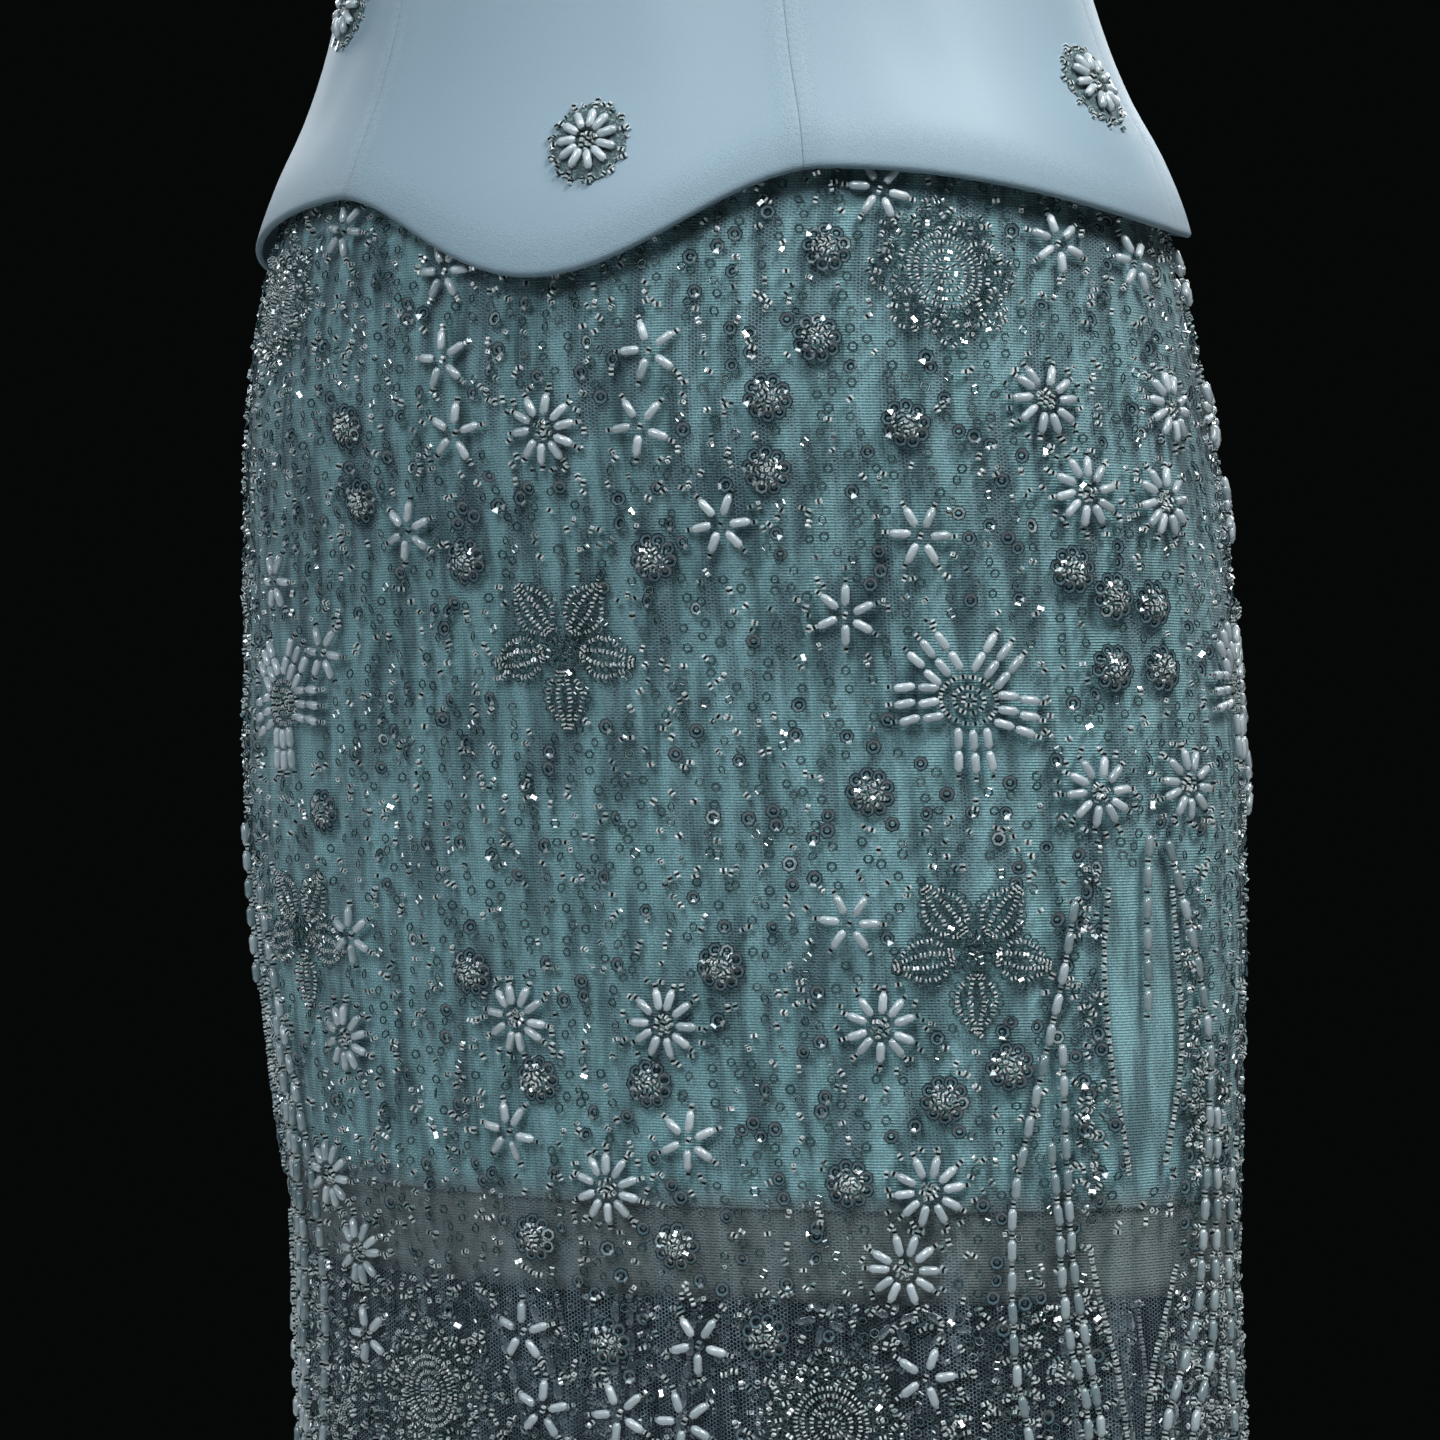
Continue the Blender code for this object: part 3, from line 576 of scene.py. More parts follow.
def clothShell(name, node, surface, columns, top, foot, cut, finish, ripple=None):
    # closed wall: down its outer face, round the rolled hem, up its inner face and over the top rim
    wall, hemWall, inset = cut["wall"], cut["hemWall"], cut.get("inset", 0.0)
    rim, hem = wall / 2, hemWall / 2
    bend = np.radians(shellSteps["bend"])
    body = 1 - (1 - np.linspace(0, 1, cut["rows"])) ** cut.get("crowd", 1.3)
    share = np.concatenate([0 * bend, body, 0 * bend + 1])
    overRim, overHem = rim * np.sin(bend) - rim, hem - hem * np.sin(bend[::-1])
    lift = np.concatenate([overRim, hem * body - rim * (1 - body), overHem])
    inward = np.concatenate([rim - rim * np.cos(bend), 0 * body, hem - hem * np.cos(bend[::-1])])
    angle = columns[:, None] + 0 * share
    high, low = np.broadcast_to(top(columns), columns.shape), np.broadcast_to(foot(columns), columns.shape)
    height = high[:, None] + (low - high)[:, None] * share + lift
    thick = wall + (hemWall - wall) * bell(height - low[:, None], cut.get("hemDepth", 0.006))
    outward = clothFrame(surface, angle, height)[2]
    base = surface(angle, height)
    face = base - outward * inset
    arc = lengthsAlong(face, 0)
    seam = np.minimum(arc, arc[-1:] - arc)
    dip = cut.get("seamDip", 0.0) * bell(seam, shellSteps["dipReach"])
    if ripple:
        dip = dip + ripple(arc, height)
    outer = base - outward * (inset + inward + dip)[..., None]
    inner = base - outward * (inset + thick - inward)[..., None]
    loop = np.concatenate([outer, inner[:, ::-1]], axis=1)
    columnCount, loopCount = loop.shape[:2]
    half = loopCount // 2
    j = np.arange(half - 1)
    nearCap = np.stack([j, loopCount - 1 - j, loopCount - 2 - j, j + 1], -1)
    farCap = np.stack([j, j + 1, loopCount - 2 - j, loopCount - 1 - j], -1) + (columnCount - 1) * loopCount
    faces = np.concatenate([gridFaces(columnCount, loopCount, True), nearCap, farCap])
    middle = arc[columnCount // 2][None]
    maps = (arc - middle, height, seam, height - low[:, None])
    across, up, fromSeam, fromHem = (np.concatenate([a, a[:, ::-1]], axis=1) for a in maps)
    made = meshPiece(name, loop.reshape(-1, 3), faces, finish, sharp=50,
                     uv=np.stack([across, up], -1).reshape(-1, 2), values={"seam": fromSeam, "rise": fromHem})
    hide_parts(node)
    declareCut(made, face[:, len(bend):-len(bend)])
    return made


# WAISTBAND
bandCut = {"wall": 0.0030, "hemWall": 0.0030, "rows": 7, "crowd": 1.0, "spacing": 0.006, "radius": 0.10,
           "foot": -0.0300}
skirtHalves = {"front": (-90, 90), "back": (90, 270)}
for half, (start, end) in skirtHalves.items():
    clothShell(f"waistband_{half}", f"skirt_waistband_{half}", skirtSurface,
               seamColumns(start, end, bandCut["spacing"], bandCut["radius"]), level(0.0),
               level(bandCut["foot"]), bandCut, finishes["band"])
print("waistband made")

# TOP
topCut = {
    "wall": 0.0020, "hemWall": 0.0026, "rows": 40, "hemDepth": 0.0050, "seamDip": 0.00016, "spacing": 0.0050,
    "radius": 0.12, "puckerDepth": 0.00012, "puckerMiddle": 0.003, "puckerReach": 0.004,
    "puckerRate": 900, "puckerHurry": ((2.0, 210, 0),),
    "panels": {"front": (-30, 30), "side_front_left": (30, 90), "side_front_right": (-90, -30),
               "side_back_left": (90, 150), "side_back_right": (-150, -90), "back_left": (150, 180),
               "back_right": (-180, -150)},
}


def seamPucker(arc, height):
    # a sine of the height that hurries and slows, strongest a few millimetres from the seam
    seam = np.minimum(arc, arc[-1:] - arc)
    wave = 0.5 + 0.5 * np.sin(topCut["puckerRate"] * height + waves(topCut["puckerHurry"], height))
    return topCut["puckerDepth"] * wave * bell(seam - topCut["puckerMiddle"], topCut["puckerReach"])


for panel, (start, end) in topCut["panels"].items():
    columns = seamColumns(start, end, topCut["spacing"], topCut["radius"])
    clothShell(f"satin_{panel}", f"top_{panel}", topSurface, columns, topNeck, topHem, topCut,
               finishes["satin"], seamPucker)
print("top made")

# SKIRT
netCut = {"inset": 0.0005, "columns": 88, "rows": 104, "top": -0.0303, "seamTurn": 0.0008,
          "rollRadius": 0.0009, "rollTurn": 300, "rollSteps": 8}
slipCuts = {
    "slip": {"wall": 0.0010, "hemWall": 0.0014, "inset": 0.0014, "rows": 32, "crowd": 1.1, "spacing": 0.0060,
             "foot": -0.4310, "slot": "aqua_jersey"},
    "underslip": {"wall": 0.0010, "hemWall": 0.0012, "inset": 0.0028, "rows": 18, "crowd": 1.6,
                  "spacing": 0.0080, "foot": -0.4595, "slot": "pale_jersey"},
}
for cut in slipCuts.values():
    cut.update(radius=0.14, hemDepth=0.004)
underslipFoot = slipCuts["underslip"]["foot"]
# a wave's row is its depth, its rate and its start; the fine one's start is multiplied by the height
ripples = {"depth": 0.00014, "lift": 1.6, "hemReach": 0.006, "drift": ((0.0035, 31, 0), (0.0020, 73, 1.0)),
           "broad": ((1.0, 560, 0),), "fine": ((0.6, 905, 20),)}


def slipRipple(arc, height):
    # two sines round the cloth that drift as they go down and end above the hem
    drift = waves(ripples["drift"], height)
    wave = waves(ripples["broad"], arc + drift) + waves(ripples["fine"], arc - drift, height)
    depth = ripples["depth"] * (1 - bell(height - slipCuts["slip"]["foot"], ripples["hemReach"]))
    return depth * (ripples["lift"] + wave)


def makeNet(half, start, end):
    # the skirt's surface from the waistband down, and a tight roll at the hem
    columns = np.linspace(math.radians(start), math.radians(end), netCut["columns"] + 1)
    columns[[0, -1]] += [netCut["seamTurn"], -netCut["seamTurn"]]
    rows = np.linspace(netCut["top"], skirtShape["hem"] + netCut["rollRadius"], netCut["rows"])
    roll = np.radians(np.linspace(0, netCut["rollTurn"], netCut["rollSteps"] + 1))[1:]
    height = np.concatenate([rows, skirtShape["hem"] + netCut["rollRadius"] * (1 - np.sin(roll))])
    inward = netCut["inset"] + np.concatenate([0 * rows, netCut["rollRadius"] * (1 - np.cos(roll))])
    angle, height = np.meshgrid(columns, height, indexing="ij")
    face = skirtSurface(angle, height) - clothFrame(skirtSurface, angle, height)[2] * inward[None, :, None]
    arc = lengthsAlong(face, 0)
    uv = np.stack([arc - arc[len(columns) // 2][None], height], -1).reshape(-1, 2)
    faces = gridFaces(*angle.shape)
    made = meshPiece(f"net_{half}", face.reshape(-1, 3), faces, finishes["net"], uv=uv)
    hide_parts(f"skirt_net_{half}")
    declareCut(made, face)


for half, (start, end) in skirtHalves.items():
    makeNet(half, start, end)
    for layer, cut in slipCuts.items():
        clothShell(f"{layer}_{half}", f"skirt_{layer}_{half}", skirtSurface,
                   seamColumns(start, end, cut["spacing"], cut["radius"]), level(netCut["top"]),
                   level(cut["foot"]), cut, finishes[layer],
                   slipRipple if layer == "slip" else None)
print("skirt made")


# BEADS: templates of a few dozen triangles, one unit across or long, with axes across, along and out. "end"
# is a value from 0 to 1 at each ring of points and at the last pole, which the finishes read
def outwardFaces(points, faces):
    # turned round where the closed shape's signed volume comes out negative
    a, b, c = (points[faces[:, k]] for k in range(3))
    return faces if np.einsum("ij,ij->", a, np.cross(b, c)) > 0 else faces[:, ::-1]


def trianglesOf(quads):
    return np.concatenate([quads[:, [0, 1, 2]], quads[:, [0, 2, 3]]])


def closedTube(rings, sides):
    # faces from ring to ring of points, and a fan to a pole at each end; the two poles come after the rings
    i = np.arange(sides)
    k = (i + 1) % sides
    quads = [np.stack([r * sides + i, (r + 1) * sides + i, (r + 1) * sides + k, r * sides + k], -1)
             for r in range(rings - 1)]
    last, first = (rings - 1) * sides, rings * sides
    caps = [np.stack([i, k, 0 * i + first], -1), np.stack([last + k, last + i, 0 * i + first + 1], -1)]
    return np.concatenate([trianglesOf(np.concatenate(quads)), *caps])


def turnedBead(rings, poles, sides, ends):
    # rings of (radius, along) turned about the long axis, closed by a pole at each end
    turn = 2 * math.pi * (np.arange(sides) + 0.5) / sides
    radius, along = np.array(rings).T
    x, z = radius[:, None] * np.cos(turn), radius[:, None] * np.sin(turn)
    body = np.stack([x, along[:, None] + 0 * x, z], -1).reshape(-1, 3)
    points = np.concatenate([body, [[0, poles[0], 0], [0, poles[1], 0]]])
    end = np.concatenate([np.repeat(ends[:-1], sides), [ends[-1]] * 2])
    return {"points": points, "faces": outwardFaces(points, closedTube(len(rings), sides)), "end": end}


def ringBead(profile, sides, ends):
    # a closed profile of (radius, out) carried round the out axis
    turn = 2 * math.pi * np.arange(sides) / sides
    radius, out = np.array(profile).T
    x, y = radius * np.cos(turn)[:, None], radius * np.sin(turn)[:, None]
    points = np.stack([x, y, out + 0 * x], -1).reshape(-1, 3)
    rows = len(profile)
    quads = gridFaces(sides + 1, rows, True) % (sides * rows)
    faces = trianglesOf(quads)
    return {"points": points, "faces": outwardFaces(points, faces), "end": np.tile(ends, sides)}


beadKinds = {
    "pearl": {"size": (0.0029, 0.0067, 0.0029), "finish": "pearl", "slot": "pearl", "smooth": True,
              "shape": turnedBead([(0.26, -0.48), (0.49, -0.30), (0.49, 0.30), (0.26, 0.48)],
                                  (-0.49, 0.49), 7, [0.55, 0.0, 0.0, 0.55, 1.0])},
    "seed": {"size": (0.0018, 0.0021, 0.0018), "finish": "seed", "slot": "silver_beads", "smooth": False,
             "shape": turnedBead([(0.5, -0.5), (0.5, 0.5)], (-0.25, 0.25), 4, [0.0, 1.0, 0.5])},
    "ring": {"size": (0.0034, 0.0034, 0.0034), "finish": "ring", "slot": "silver_beads", "smooth": False,
             "shape": ringBead([(0.50, 0.00), (0.40, 0.10), (0.29, 0.00)], 6, [1.0, 0.0, 1.0])},
    "cup": {"size": (0.0050, 0.0050, 0.0050), "finish": "cup", "slot": "silver_beads", "smooth": False,
            "shape": ringBead([(0.50, 0.10), (0.33, 0.05), (0.14, -0.02)], 7, [0.55, 0.0, 1.0])},
}
beadColumns = ("angle", "height", "heading", "lift", "pitch", "roll", "size")
liftColumn, sizeColumn = beadColumns.index("lift"), beadColumns.index("size")
sowing = {"seed": 41, "roundCell": 0.0069, "downCell": 0.0052, "top": -0.0960, "foot": -1.0480}
sown = np.random.default_rng(sowing["seed"])


def beadRows(angle, height, heading=0.0, lift=0.0, pitch=0.0, roll=0.0, size=1.0):
    # one row of the bead columns for each place
    columns = (angle, height, heading, lift, pitch, roll, size)
    rows = np.broadcast_arrays(*(np.asarray(column, float) for column in columns))
    return np.stack([row.ravel() for row in rows], -1)


def stampBeads(name, kind, surface, rows, nodes=(), tints=(0.0, 1.0)):
    # every bead of one kind in one mesh: its template turned to the cloth's directions, moved out by its lift
    bead, shape = beadKinds[kind], beadKinds[kind]["shape"]
    angle, height, heading, lift, pitch, roll, size = rows.T
    aroundIt, up, outward, _ = clothFrame(surface, angle, height)
    turned = [v[:, None] for v in (np.cos(heading), np.sin(heading))]
    along = up * turned[0] + aroundIt * turned[1]
    out = unit(outward + along * pitch[:, None] + np.cross(along, outward) * roll[:, None])
    across = unit(np.cross(along, out))
    along = np.cross(out, across)
    axes = np.stack([across, along, out], -1) * (np.array(bead["size"])[None, None] * size[:, None, None])
    centre = surface(angle, height) + outward * lift[:, None]
    points = centre[:, None] + np.einsum("nij,kj->nki", axes, shape["points"])
    count, each = points.shape[:2]
    faces = (shape["faces"][None] + each * np.arange(count)[:, None, None]).reshape(-1, 3)
    tint = np.repeat(sown.uniform(*tints, count), each)
    made = meshPiece(name, points.reshape(-1, 3), faces, finishes[bead["finish"]],
                     values={"tint": tint, "end": np.tile(shape["end"], count)}, smooth=bead["smooth"])
    if nodes:
        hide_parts(*nodes)
    print(f"{name}: {count} beads, {len(faces)} triangles")
    return made


lifts = {"pearl": 0.0012, "seed": 0.0004, "ring": 0.0001, "cup": 0.0002}
golden = math.pi * (3 - math.sqrt(5))


def sewnAt(site, x, y, mirror=1.0):
    # angle and height of places x to the left side and y up from each motif's middle; a site is the cloth's
    # surface and the motifs' middles
    surface, middles = site
    angle, height = np.radians(middles[:, 0]), middles[:, 1]
    reach = clothFrame(surface, angle, height)[3]
    return angle[:, None] + x * mirror / reach[:, None], height[:, None] + y


def radial(radius, turn):
    return radius * np.sin(turn), radius * np.cos(turn)


def sewnRound(site, radius, turn, *rest, **more):
    # bead rows at a radius and a turn from each motif's middle
    return beadRows(*sewnAt(site, *radial(radius, turn)), *rest, **more)


def spokes(site, count, whole=2 * math.pi):
    # evenly spaced turns round each middle, from a start of its own
    return sown.uniform(0, whole, len(site[1]))[:, None] + 2 * math.pi * np.arange(count) / count


# metres from a motif's middle; a ring is its radius, how many seeds it has and how high they stand
starShape = {"pearls": 0.0061, "tips": 0.0104, "pearlLift": 0.0017, "pearlPitch": 0.10, "tipLift": 0.0006,
             "heartTurn": 0.4, "heartLift": 0.0012, "turnSpread": 0.05}
daisyShape = {"petals": 10, "pearls": 0.0076, "tips": 0.0118, "halo": 0.0134, "haloSeeds": 13,
              "haloSpread": 0.0005, "turnSpread": 0.08, "heart": ((0.0022, 6, 0.0004),), "heartLift": 0.0012}
# cupSet: lift, pitch and roll of a cup
buttonShape = {"cups": 9, "radius": 0.0054, "cupSet": (0.0010, 0.28, 0.12), "lift": 0.0010, "seedSize": 0.86,
               "dome": ((0.0001, 1, 0.0022), (0.0019, 6, 0.0017), (0.0038, 9, 0.0006))}


def star(site, petals, pearlRadius=starShape["pearls"], tipRadius=starShape["tips"]):
    # pearls like spokes, a seed at each tip and one in the middle
    turn = spokes(site, petals)
    turn = turn + sown.normal(0, starShape["turnSpread"], turn.shape)
    pearls = sewnRound(site, pearlRadius, turn, turn, starShape["pearlLift"], starShape["pearlPitch"])
    tips = sewnRound(site, tipRadius, turn, turn, starShape["tipLift"])
    heart = sewnRound(site, 0.0, 0 * turn[:, :1], starShape["heartTurn"], starShape["heartLift"])
    return {"pearl": [pearls], "seed": [tips, heart]}


def seedCluster(site, rings, lift, size=1.0, spread=0.00015, tip=0.5):
    # rings of seeds, each seed turned and tipped at random
    found = []
    for radius, count, rise in rings:
        turn = spokes(site, count)
        shaken = radius + sown.normal(0, spread, turn.shape)
        found.append(sewnRound(site, shaken, turn, sown.uniform(0, math.pi, turn.shape), lift + rise,
                               *sown.normal(0, tip, (2, *turn.shape)), size))
    return found


def daisy(site, petals=daisyShape["petals"], pearlRadius=daisyShape["pearls"]):
    # a star of many pearls round a cluster of seeds, inside a loose circle of seeds
    made = star(site, petals, pearlRadius, daisyShape["tips"])
    halo = spokes(site, daisyShape["haloSeeds"])
    halo = halo + sown.normal(0, daisyShape["turnSpread"], halo.shape)
    radius = daisyShape["halo"] + sown.normal(0, daisyShape["haloSpread"], halo.shape)
    heading = sown.uniform(0, math.pi, halo.shape)
    made["seed"].append(sewnRound(site, radius, halo, heading, lifts["seed"]))
    made["seed"] += seedCluster(site, daisyShape["heart"], daisyShape["heartLift"])
    return made


def button(site):
    # overlapping cup sequins in a ring under a dome of seeds
    turn = spokes(site, buttonShape["cups"])
    cups = sewnRound(site, buttonShape["radius"], turn, turn, *buttonShape["cupSet"])
    dome = seedCluster(site, buttonShape["dome"], buttonShape["lift"], buttonShape["seedSize"])
    return {"cup": [cups], "seed": dome}


sunShape = {"groups": np.radians([40, 105, 180, 267, 325]), "rayGap": 0.0037, "fan": 0.10,
            "first": 0.0122, "second": 0.0192, "tip": 0.0238, "curve": 0.0006, "splay": 0.7, "lift": 0.0004,
            "turnSpread": 0.04, "wide": 1.08, "tall": 0.9,
            "circles": ((0.0016, 4), (0.0043, 9), (0.0080, 18)), "circleLift": 0.0008}


def sun(site):
    # three circles of seeds and five bundles of three rays, each ray two pearls and a seed
    mirror = np.where(site[1][:, 0] < 0, -1.0, 1.0)[:, None]
    lane = np.tile([-1.0, 0.0, 1.0], len(sunShape["groups"]))
    group = np.repeat(sunShape["groups"], 3)
    heading = (group + lane * sunShape["fan"])[None]
    ray = group + lane * sunShape["fan"] * sunShape["splay"]
    made = {"pearl": [], "seed": []}
    for place, kind in (("first", "pearl"), ("second", "pearl"), ("tip", "seed")):
        reach = sunShape[place] - sunShape["curve"] * np.abs(lane)
        x = reach * np.sin(ray) + lane * sunShape["rayGap"] * np.cos(group)
        y = reach * np.cos(ray) - lane * sunShape["rayGap"] * np.sin(group)
        spot = sewnAt(site, x[None], y[None], mirror)
        wobble = sown.normal(0, sunShape["turnSpread"], spot[0].shape)
        made[kind].append(beadRows(*spot, heading * mirror + wobble, lifts[kind] + sunShape["lift"]))
    for radius, count in sunShape["circles"]:
        turn = spokes(site, count, 1)
        x, y = radial(radius, turn)
        spot = sewnAt(site, x * sunShape["wide"], y * sunShape["tall"])
        made["seed"].append(beadRows(*spot, turn + math.pi / 2, sunShape["circleLift"]))
    return made


# knot: inner radius, outer radius, how many rings and how high they stand
leafShape = {"petals": np.radians([-36, 36, 100, 180, 260]), "start": 0.0060, "length": 0.0192,
             "halfWidth": 0.0060, "pitch": 0.0026, "lift": 0.0008, "crown": 0.0013, "wobble": 0.22,
             "seedSize": 0.82, "seedLift": 1.0, "ringSize": 0.85, "ringLift": 0.5,
             "knot": (0.0, 0.0062, 26, 0.0010),
             "lanes": (("seed", (-1.0, -0.34, 0.34, 1.0)), ("ring", (-1.25, -0.66, 0.0, 0.66, 1.25)))}


def leafFlower(site):
    # five leaves round a knot of ring sequins; each has four curved lanes of seeds, whose swell is a sine of
    # the share of its length, with lanes of ring sequins between them and along its edges
    made = {"seed": [], "ring": []}
    count = round(leafShape["length"] / leafShape["pitch"])
    share = (np.arange(count) + 0.5) / count
    for petal in leafShape["petals"]:
        for kind, lanes in leafShape["lanes"]:
            for lane in lanes:
                swell = lane * leafShape["halfWidth"] * np.sin(math.pi * share ** 0.85)
                along = leafShape["start"] + leafShape["length"] * share
                x = along * np.sin(petal) + swell * np.cos(petal)
                y = along * np.cos(petal) - swell * np.sin(petal)
                bend = np.arctan2(np.gradient(x), np.gradient(y))
                crown = leafShape["crown"] * np.sin(math.pi * share) * max(0.0, 1 - abs(lane))
                lift = (leafShape["lift"] + crown) * leafShape[f"{kind}Lift"]
                spot = sewnAt(site, x[None], y[None])
                wobble = sown.normal(0, leafShape["wobble"], (2, *spot[0].shape))
                made[kind].append(beadRows(*spot, bend + wobble[0], lift, wobble[1] * 0.5, wobble[1] * 2.0,
                                           leafShape[f"{kind}Size"]))
    made["ring"].append(packed(site, *leafShape["knot"]))
    return made


def scalloped(turn, lobes, valley):
    # from the valley's share between two lobes to one on a lobe, as the root of a raised cosine
    return valley + (1 - valley) * np.sqrt(0.5 + 0.5 * np.cos(lobes * turn))


def packed(site, inner, outer, count, lift, lobes=0, valley=1.0, lean=0.35):
    # places spread evenly by the golden angle between two radii, the outer one lobed if asked
    turn = golden * np.arange(count) + sown.uniform(0, 6, (len(site[1]), 1))
    edge = outer * scalloped(turn, lobes, valley) if lobes else outer + 0 * turn
    radius = np.sqrt(inner ** 2 + (edge ** 2 - inner ** 2) * (np.arange(count) + 0.5) / count)
    tilt = sown.normal(0, lean, (2, *turn.shape))
    return sewnRound(site, radius, turn, sown.uniform(0, 6, turn.shape), lift, *tilt)


# sequins and seeds: inner radius, outer radius and how many
rosetteShape = {
    "rings": ((0.0014, 3), (0.0036, 8), (0.0062, 14), (0.0090, 21), (0.0112, 26)), "radius": 0.0230,
    "lobed": {"lobes": 8, "valley": 0.78}, "edgeSeeds": 44, "seedSize": 0.76, "ringSize": 0.70,
    "edgeSize": 0.85, "seedLift": 0.0010, "ringLift": 0.0006, "edgeLift": 0.0005, "roll": 0.5,
    "sequins": (0.0120, 0.0226, 210), "seeds": (0.0122, 0.0222, 48), "seedLean": 0.6,
}


def rosette(site):
    # circles of seeds inside eight packed scallops of ring sequins and seeds, with a seed edge
    shape, lobed = rosetteShape, rosetteShape["lobed"]
    made = {"seed": [], "ring": []}
    for radius, count in shape["rings"]:
        turn = spokes(site, count, 1)
        roll = sown.normal(0, shape["roll"], turn.shape)
        made["seed"].append(sewnRound(site, radius, turn, turn + math.pi / 2, shape["seedLift"],
                                      0.0, roll, shape["seedSize"]))
    small = packed(site, *shape["sequins"], shape["ringLift"], **lobed)
    small[:, sizeColumn] = shape["ringSize"]
    made["ring"].append(small)
    made["seed"].append(packed(site, *shape["seeds"], shape["seedLift"], lean=shape["seedLean"], **lobed))
    turn = 2 * math.pi * np.arange(shape["edgeSeeds"])[None] / shape["edgeSeeds"] + 0 * site[1][:, :1]
    tilt = sown.normal(0, shape["seedLean"], (3, *turn.shape))
    made["seed"].append(sewnRound(site, shape["radius"] * scalloped(turn, **lobed), turn,
                                  turn + math.pi / 2 + tilt[0], shape["edgeLift"], *tilt[1:],
                                  shape["edgeSize"]))
    return made


# MOTIFS: degrees round and height; pairs are sewn on both sides of the centre front
def bothSides(pairs, single=()):
    rows = [row for angle, height in pairs for row in ((angle, height), (-angle, height))]
    return np.array([*rows, *single], float)


def alsoBehind(rows, turn=180.0):
    # the same places again on the back, mirrored about the side seams
    return np.concatenate([rows, np.stack([turn - rows[:, 0], rows[:, 1]], -1)])


motifs = {
    "star5": alsoBehind(bothSides(
        ((12.5, -0.167), (11, -0.19), (36, -0.481), (10.5, -0.473), (8.5, -0.497)), ((1, -0.496),))),
    "star6": alsoBehind(bothSides(
        ((18.5, -0.22), (10.5, -0.41)), ((40, -0.118), (64, -0.133), (79, -0.137), (-32, -0.122),
        (-13, -0.139), (40, -0.224), (31, -0.248), (-34, -0.258), (-45, -0.234), (-32, -0.35),
        (29, -0.342)))),
    "daisy": alsoBehind(bothSides(
        ((8.5, -0.374),), ((0, -0.19), (58, -0.182), (81, -0.182), (62, -0.21), (76, -0.212), (60, -0.302),
        (76, -0.3), (-35, -0.384), (32, -0.374), (-42, -0.43), (1, -0.426), (37, -0.424), (-37, -0.454),
        (34, -0.448)))),
    "button": alsoBehind(bothSides(
        ((11, -0.23), (6.5, -0.393), (8.5, -0.443)), ((33, -0.136), (31, -0.164), (25, -0.182), (40, -0.19),
        (24, -0.204), (-28, -0.186), (-26, -0.21), (59, -0.234), (65, -0.242), (72, -0.244), (64, -0.264),
        (73, -0.264), (32, -0.302), (-36, -0.31), (-14, -0.36), (15, -0.356), (47, -0.386), (39, -0.396),
        (28, -0.422), (0, -0.474), (18, -0.47)))),
    "sun": np.array(
        [(44, -0.274), (-44, -0.274), (96, -0.27), (-96, -0.27), (150, -0.29), (-150, -0.29), (0, -0.62),
        (45, -0.65), (-45, -0.65), (180, -0.64)]),
    "leaf": np.array(
        [(0, -0.258), (43, -0.351), (-43, -0.351), (180, -0.21), (128, -0.37), (-128, -0.37), (28, -0.8),
        (-28, -0.8)]),
    "rosette": np.array(
        [(47, -0.143), (-47, -0.143), (25, -0.496), (-25, -0.496), (135, -0.17), (-135, -0.17)]),
    "topFlower": np.array(
        [(5, -0.101), (-49, -0.043), (80, -0.079), (24, -0.014), (-20, 0.06), (58, 0.07), (-75, 0.095),
        (132, -0.055), (-128, -0.085), (-156, 0.045), (118, 0.06)]),
}
lowMotifs = {
    "star6": alsoBehind(bothSides(
        ((14, -0.56), (33, -0.585), (62, -0.61), (20, -0.7), (50, -0.76), (78, -0.7), (12, -0.83),
        (38, -0.9), (66, -0.86), (20, -0.985)))),
    "daisy": alsoBehind(bothSides(
        ((24, -0.555), (50, -0.59), (28, -0.65), (66, -0.68), (10, -0.745), (36, -0.735), (80, -0.79),
        (52, -0.83), (24, -0.9), (8, -0.95), (60, -0.96)))),
    "button": alsoBehind(bothSides(
        ((6, -0.54), (40, -0.56), (72, -0.57), (16, -0.61), (62, -0.74), (24, -0.77), (42, -0.8),
        (75, -0.85), (14, -0.88), (48, -0.94)))),
}
reaches = {"star5": 0.0105, "star6": 0.0105, "daisy": 0.0145, "button": 0.0090, "sun": 0.0240, "leaf": 0.0225,
           "rosette": 0.0235}
for kind, rows in lowMotifs.items():
    motifs[kind] = np.concatenate([motifs[kind], rows])


# metres for each radian round the skirt: at the hips and at the drops
hipReach, dropReach = 0.15, 0.135
largeClearance = {"share": 0.95, "gap": 0.004}


def clearOfLarge(kind):
    # leaves out a small motif whose middle falls on a large one
    rows = motifs[kind]
    keep = np.ones(len(rows), bool)
    for large in ("sun", "leaf", "rosette"):
        gap = np.radians(rows[:, None, 0] - motifs[large][None, :, 0])
        away = np.hypot(wrapped(gap) * hipReach, rows[:, None, 1] - motifs[large][None, :, 1])
        keep &= (away > reaches[large] * largeClearance["share"] + largeClearance["gap"]).all(axis=1)
    return rows[keep]


for kind in ("star5", "star6", "daisy", "button"):
    motifs[kind] = clearOfLarge(kind)

beads = {"pearl": [], "seed": [], "ring": [], "cup": []}


def sew(group):
    for kind, rows in group.items():
        beads[kind] += rows


skirtSites = {kind: (skirtSurface, motifs[kind]) for kind in reaches}
sew(star(skirtSites["star5"], 5))
sew(star(skirtSites["star6"], 6))
sew(daisy(skirtSites["daisy"]))
sew(button(skirtSites["button"]))
suns, leaves = sun(skirtSites["sun"]), leafFlower(skirtSites["leaf"])
rosettes = rosette(skirtSites["rosette"])
beads["seed"] += suns["seed"]
beads["ring"] += leaves["ring"] + rosettes["ring"]
print("motifs laid out")

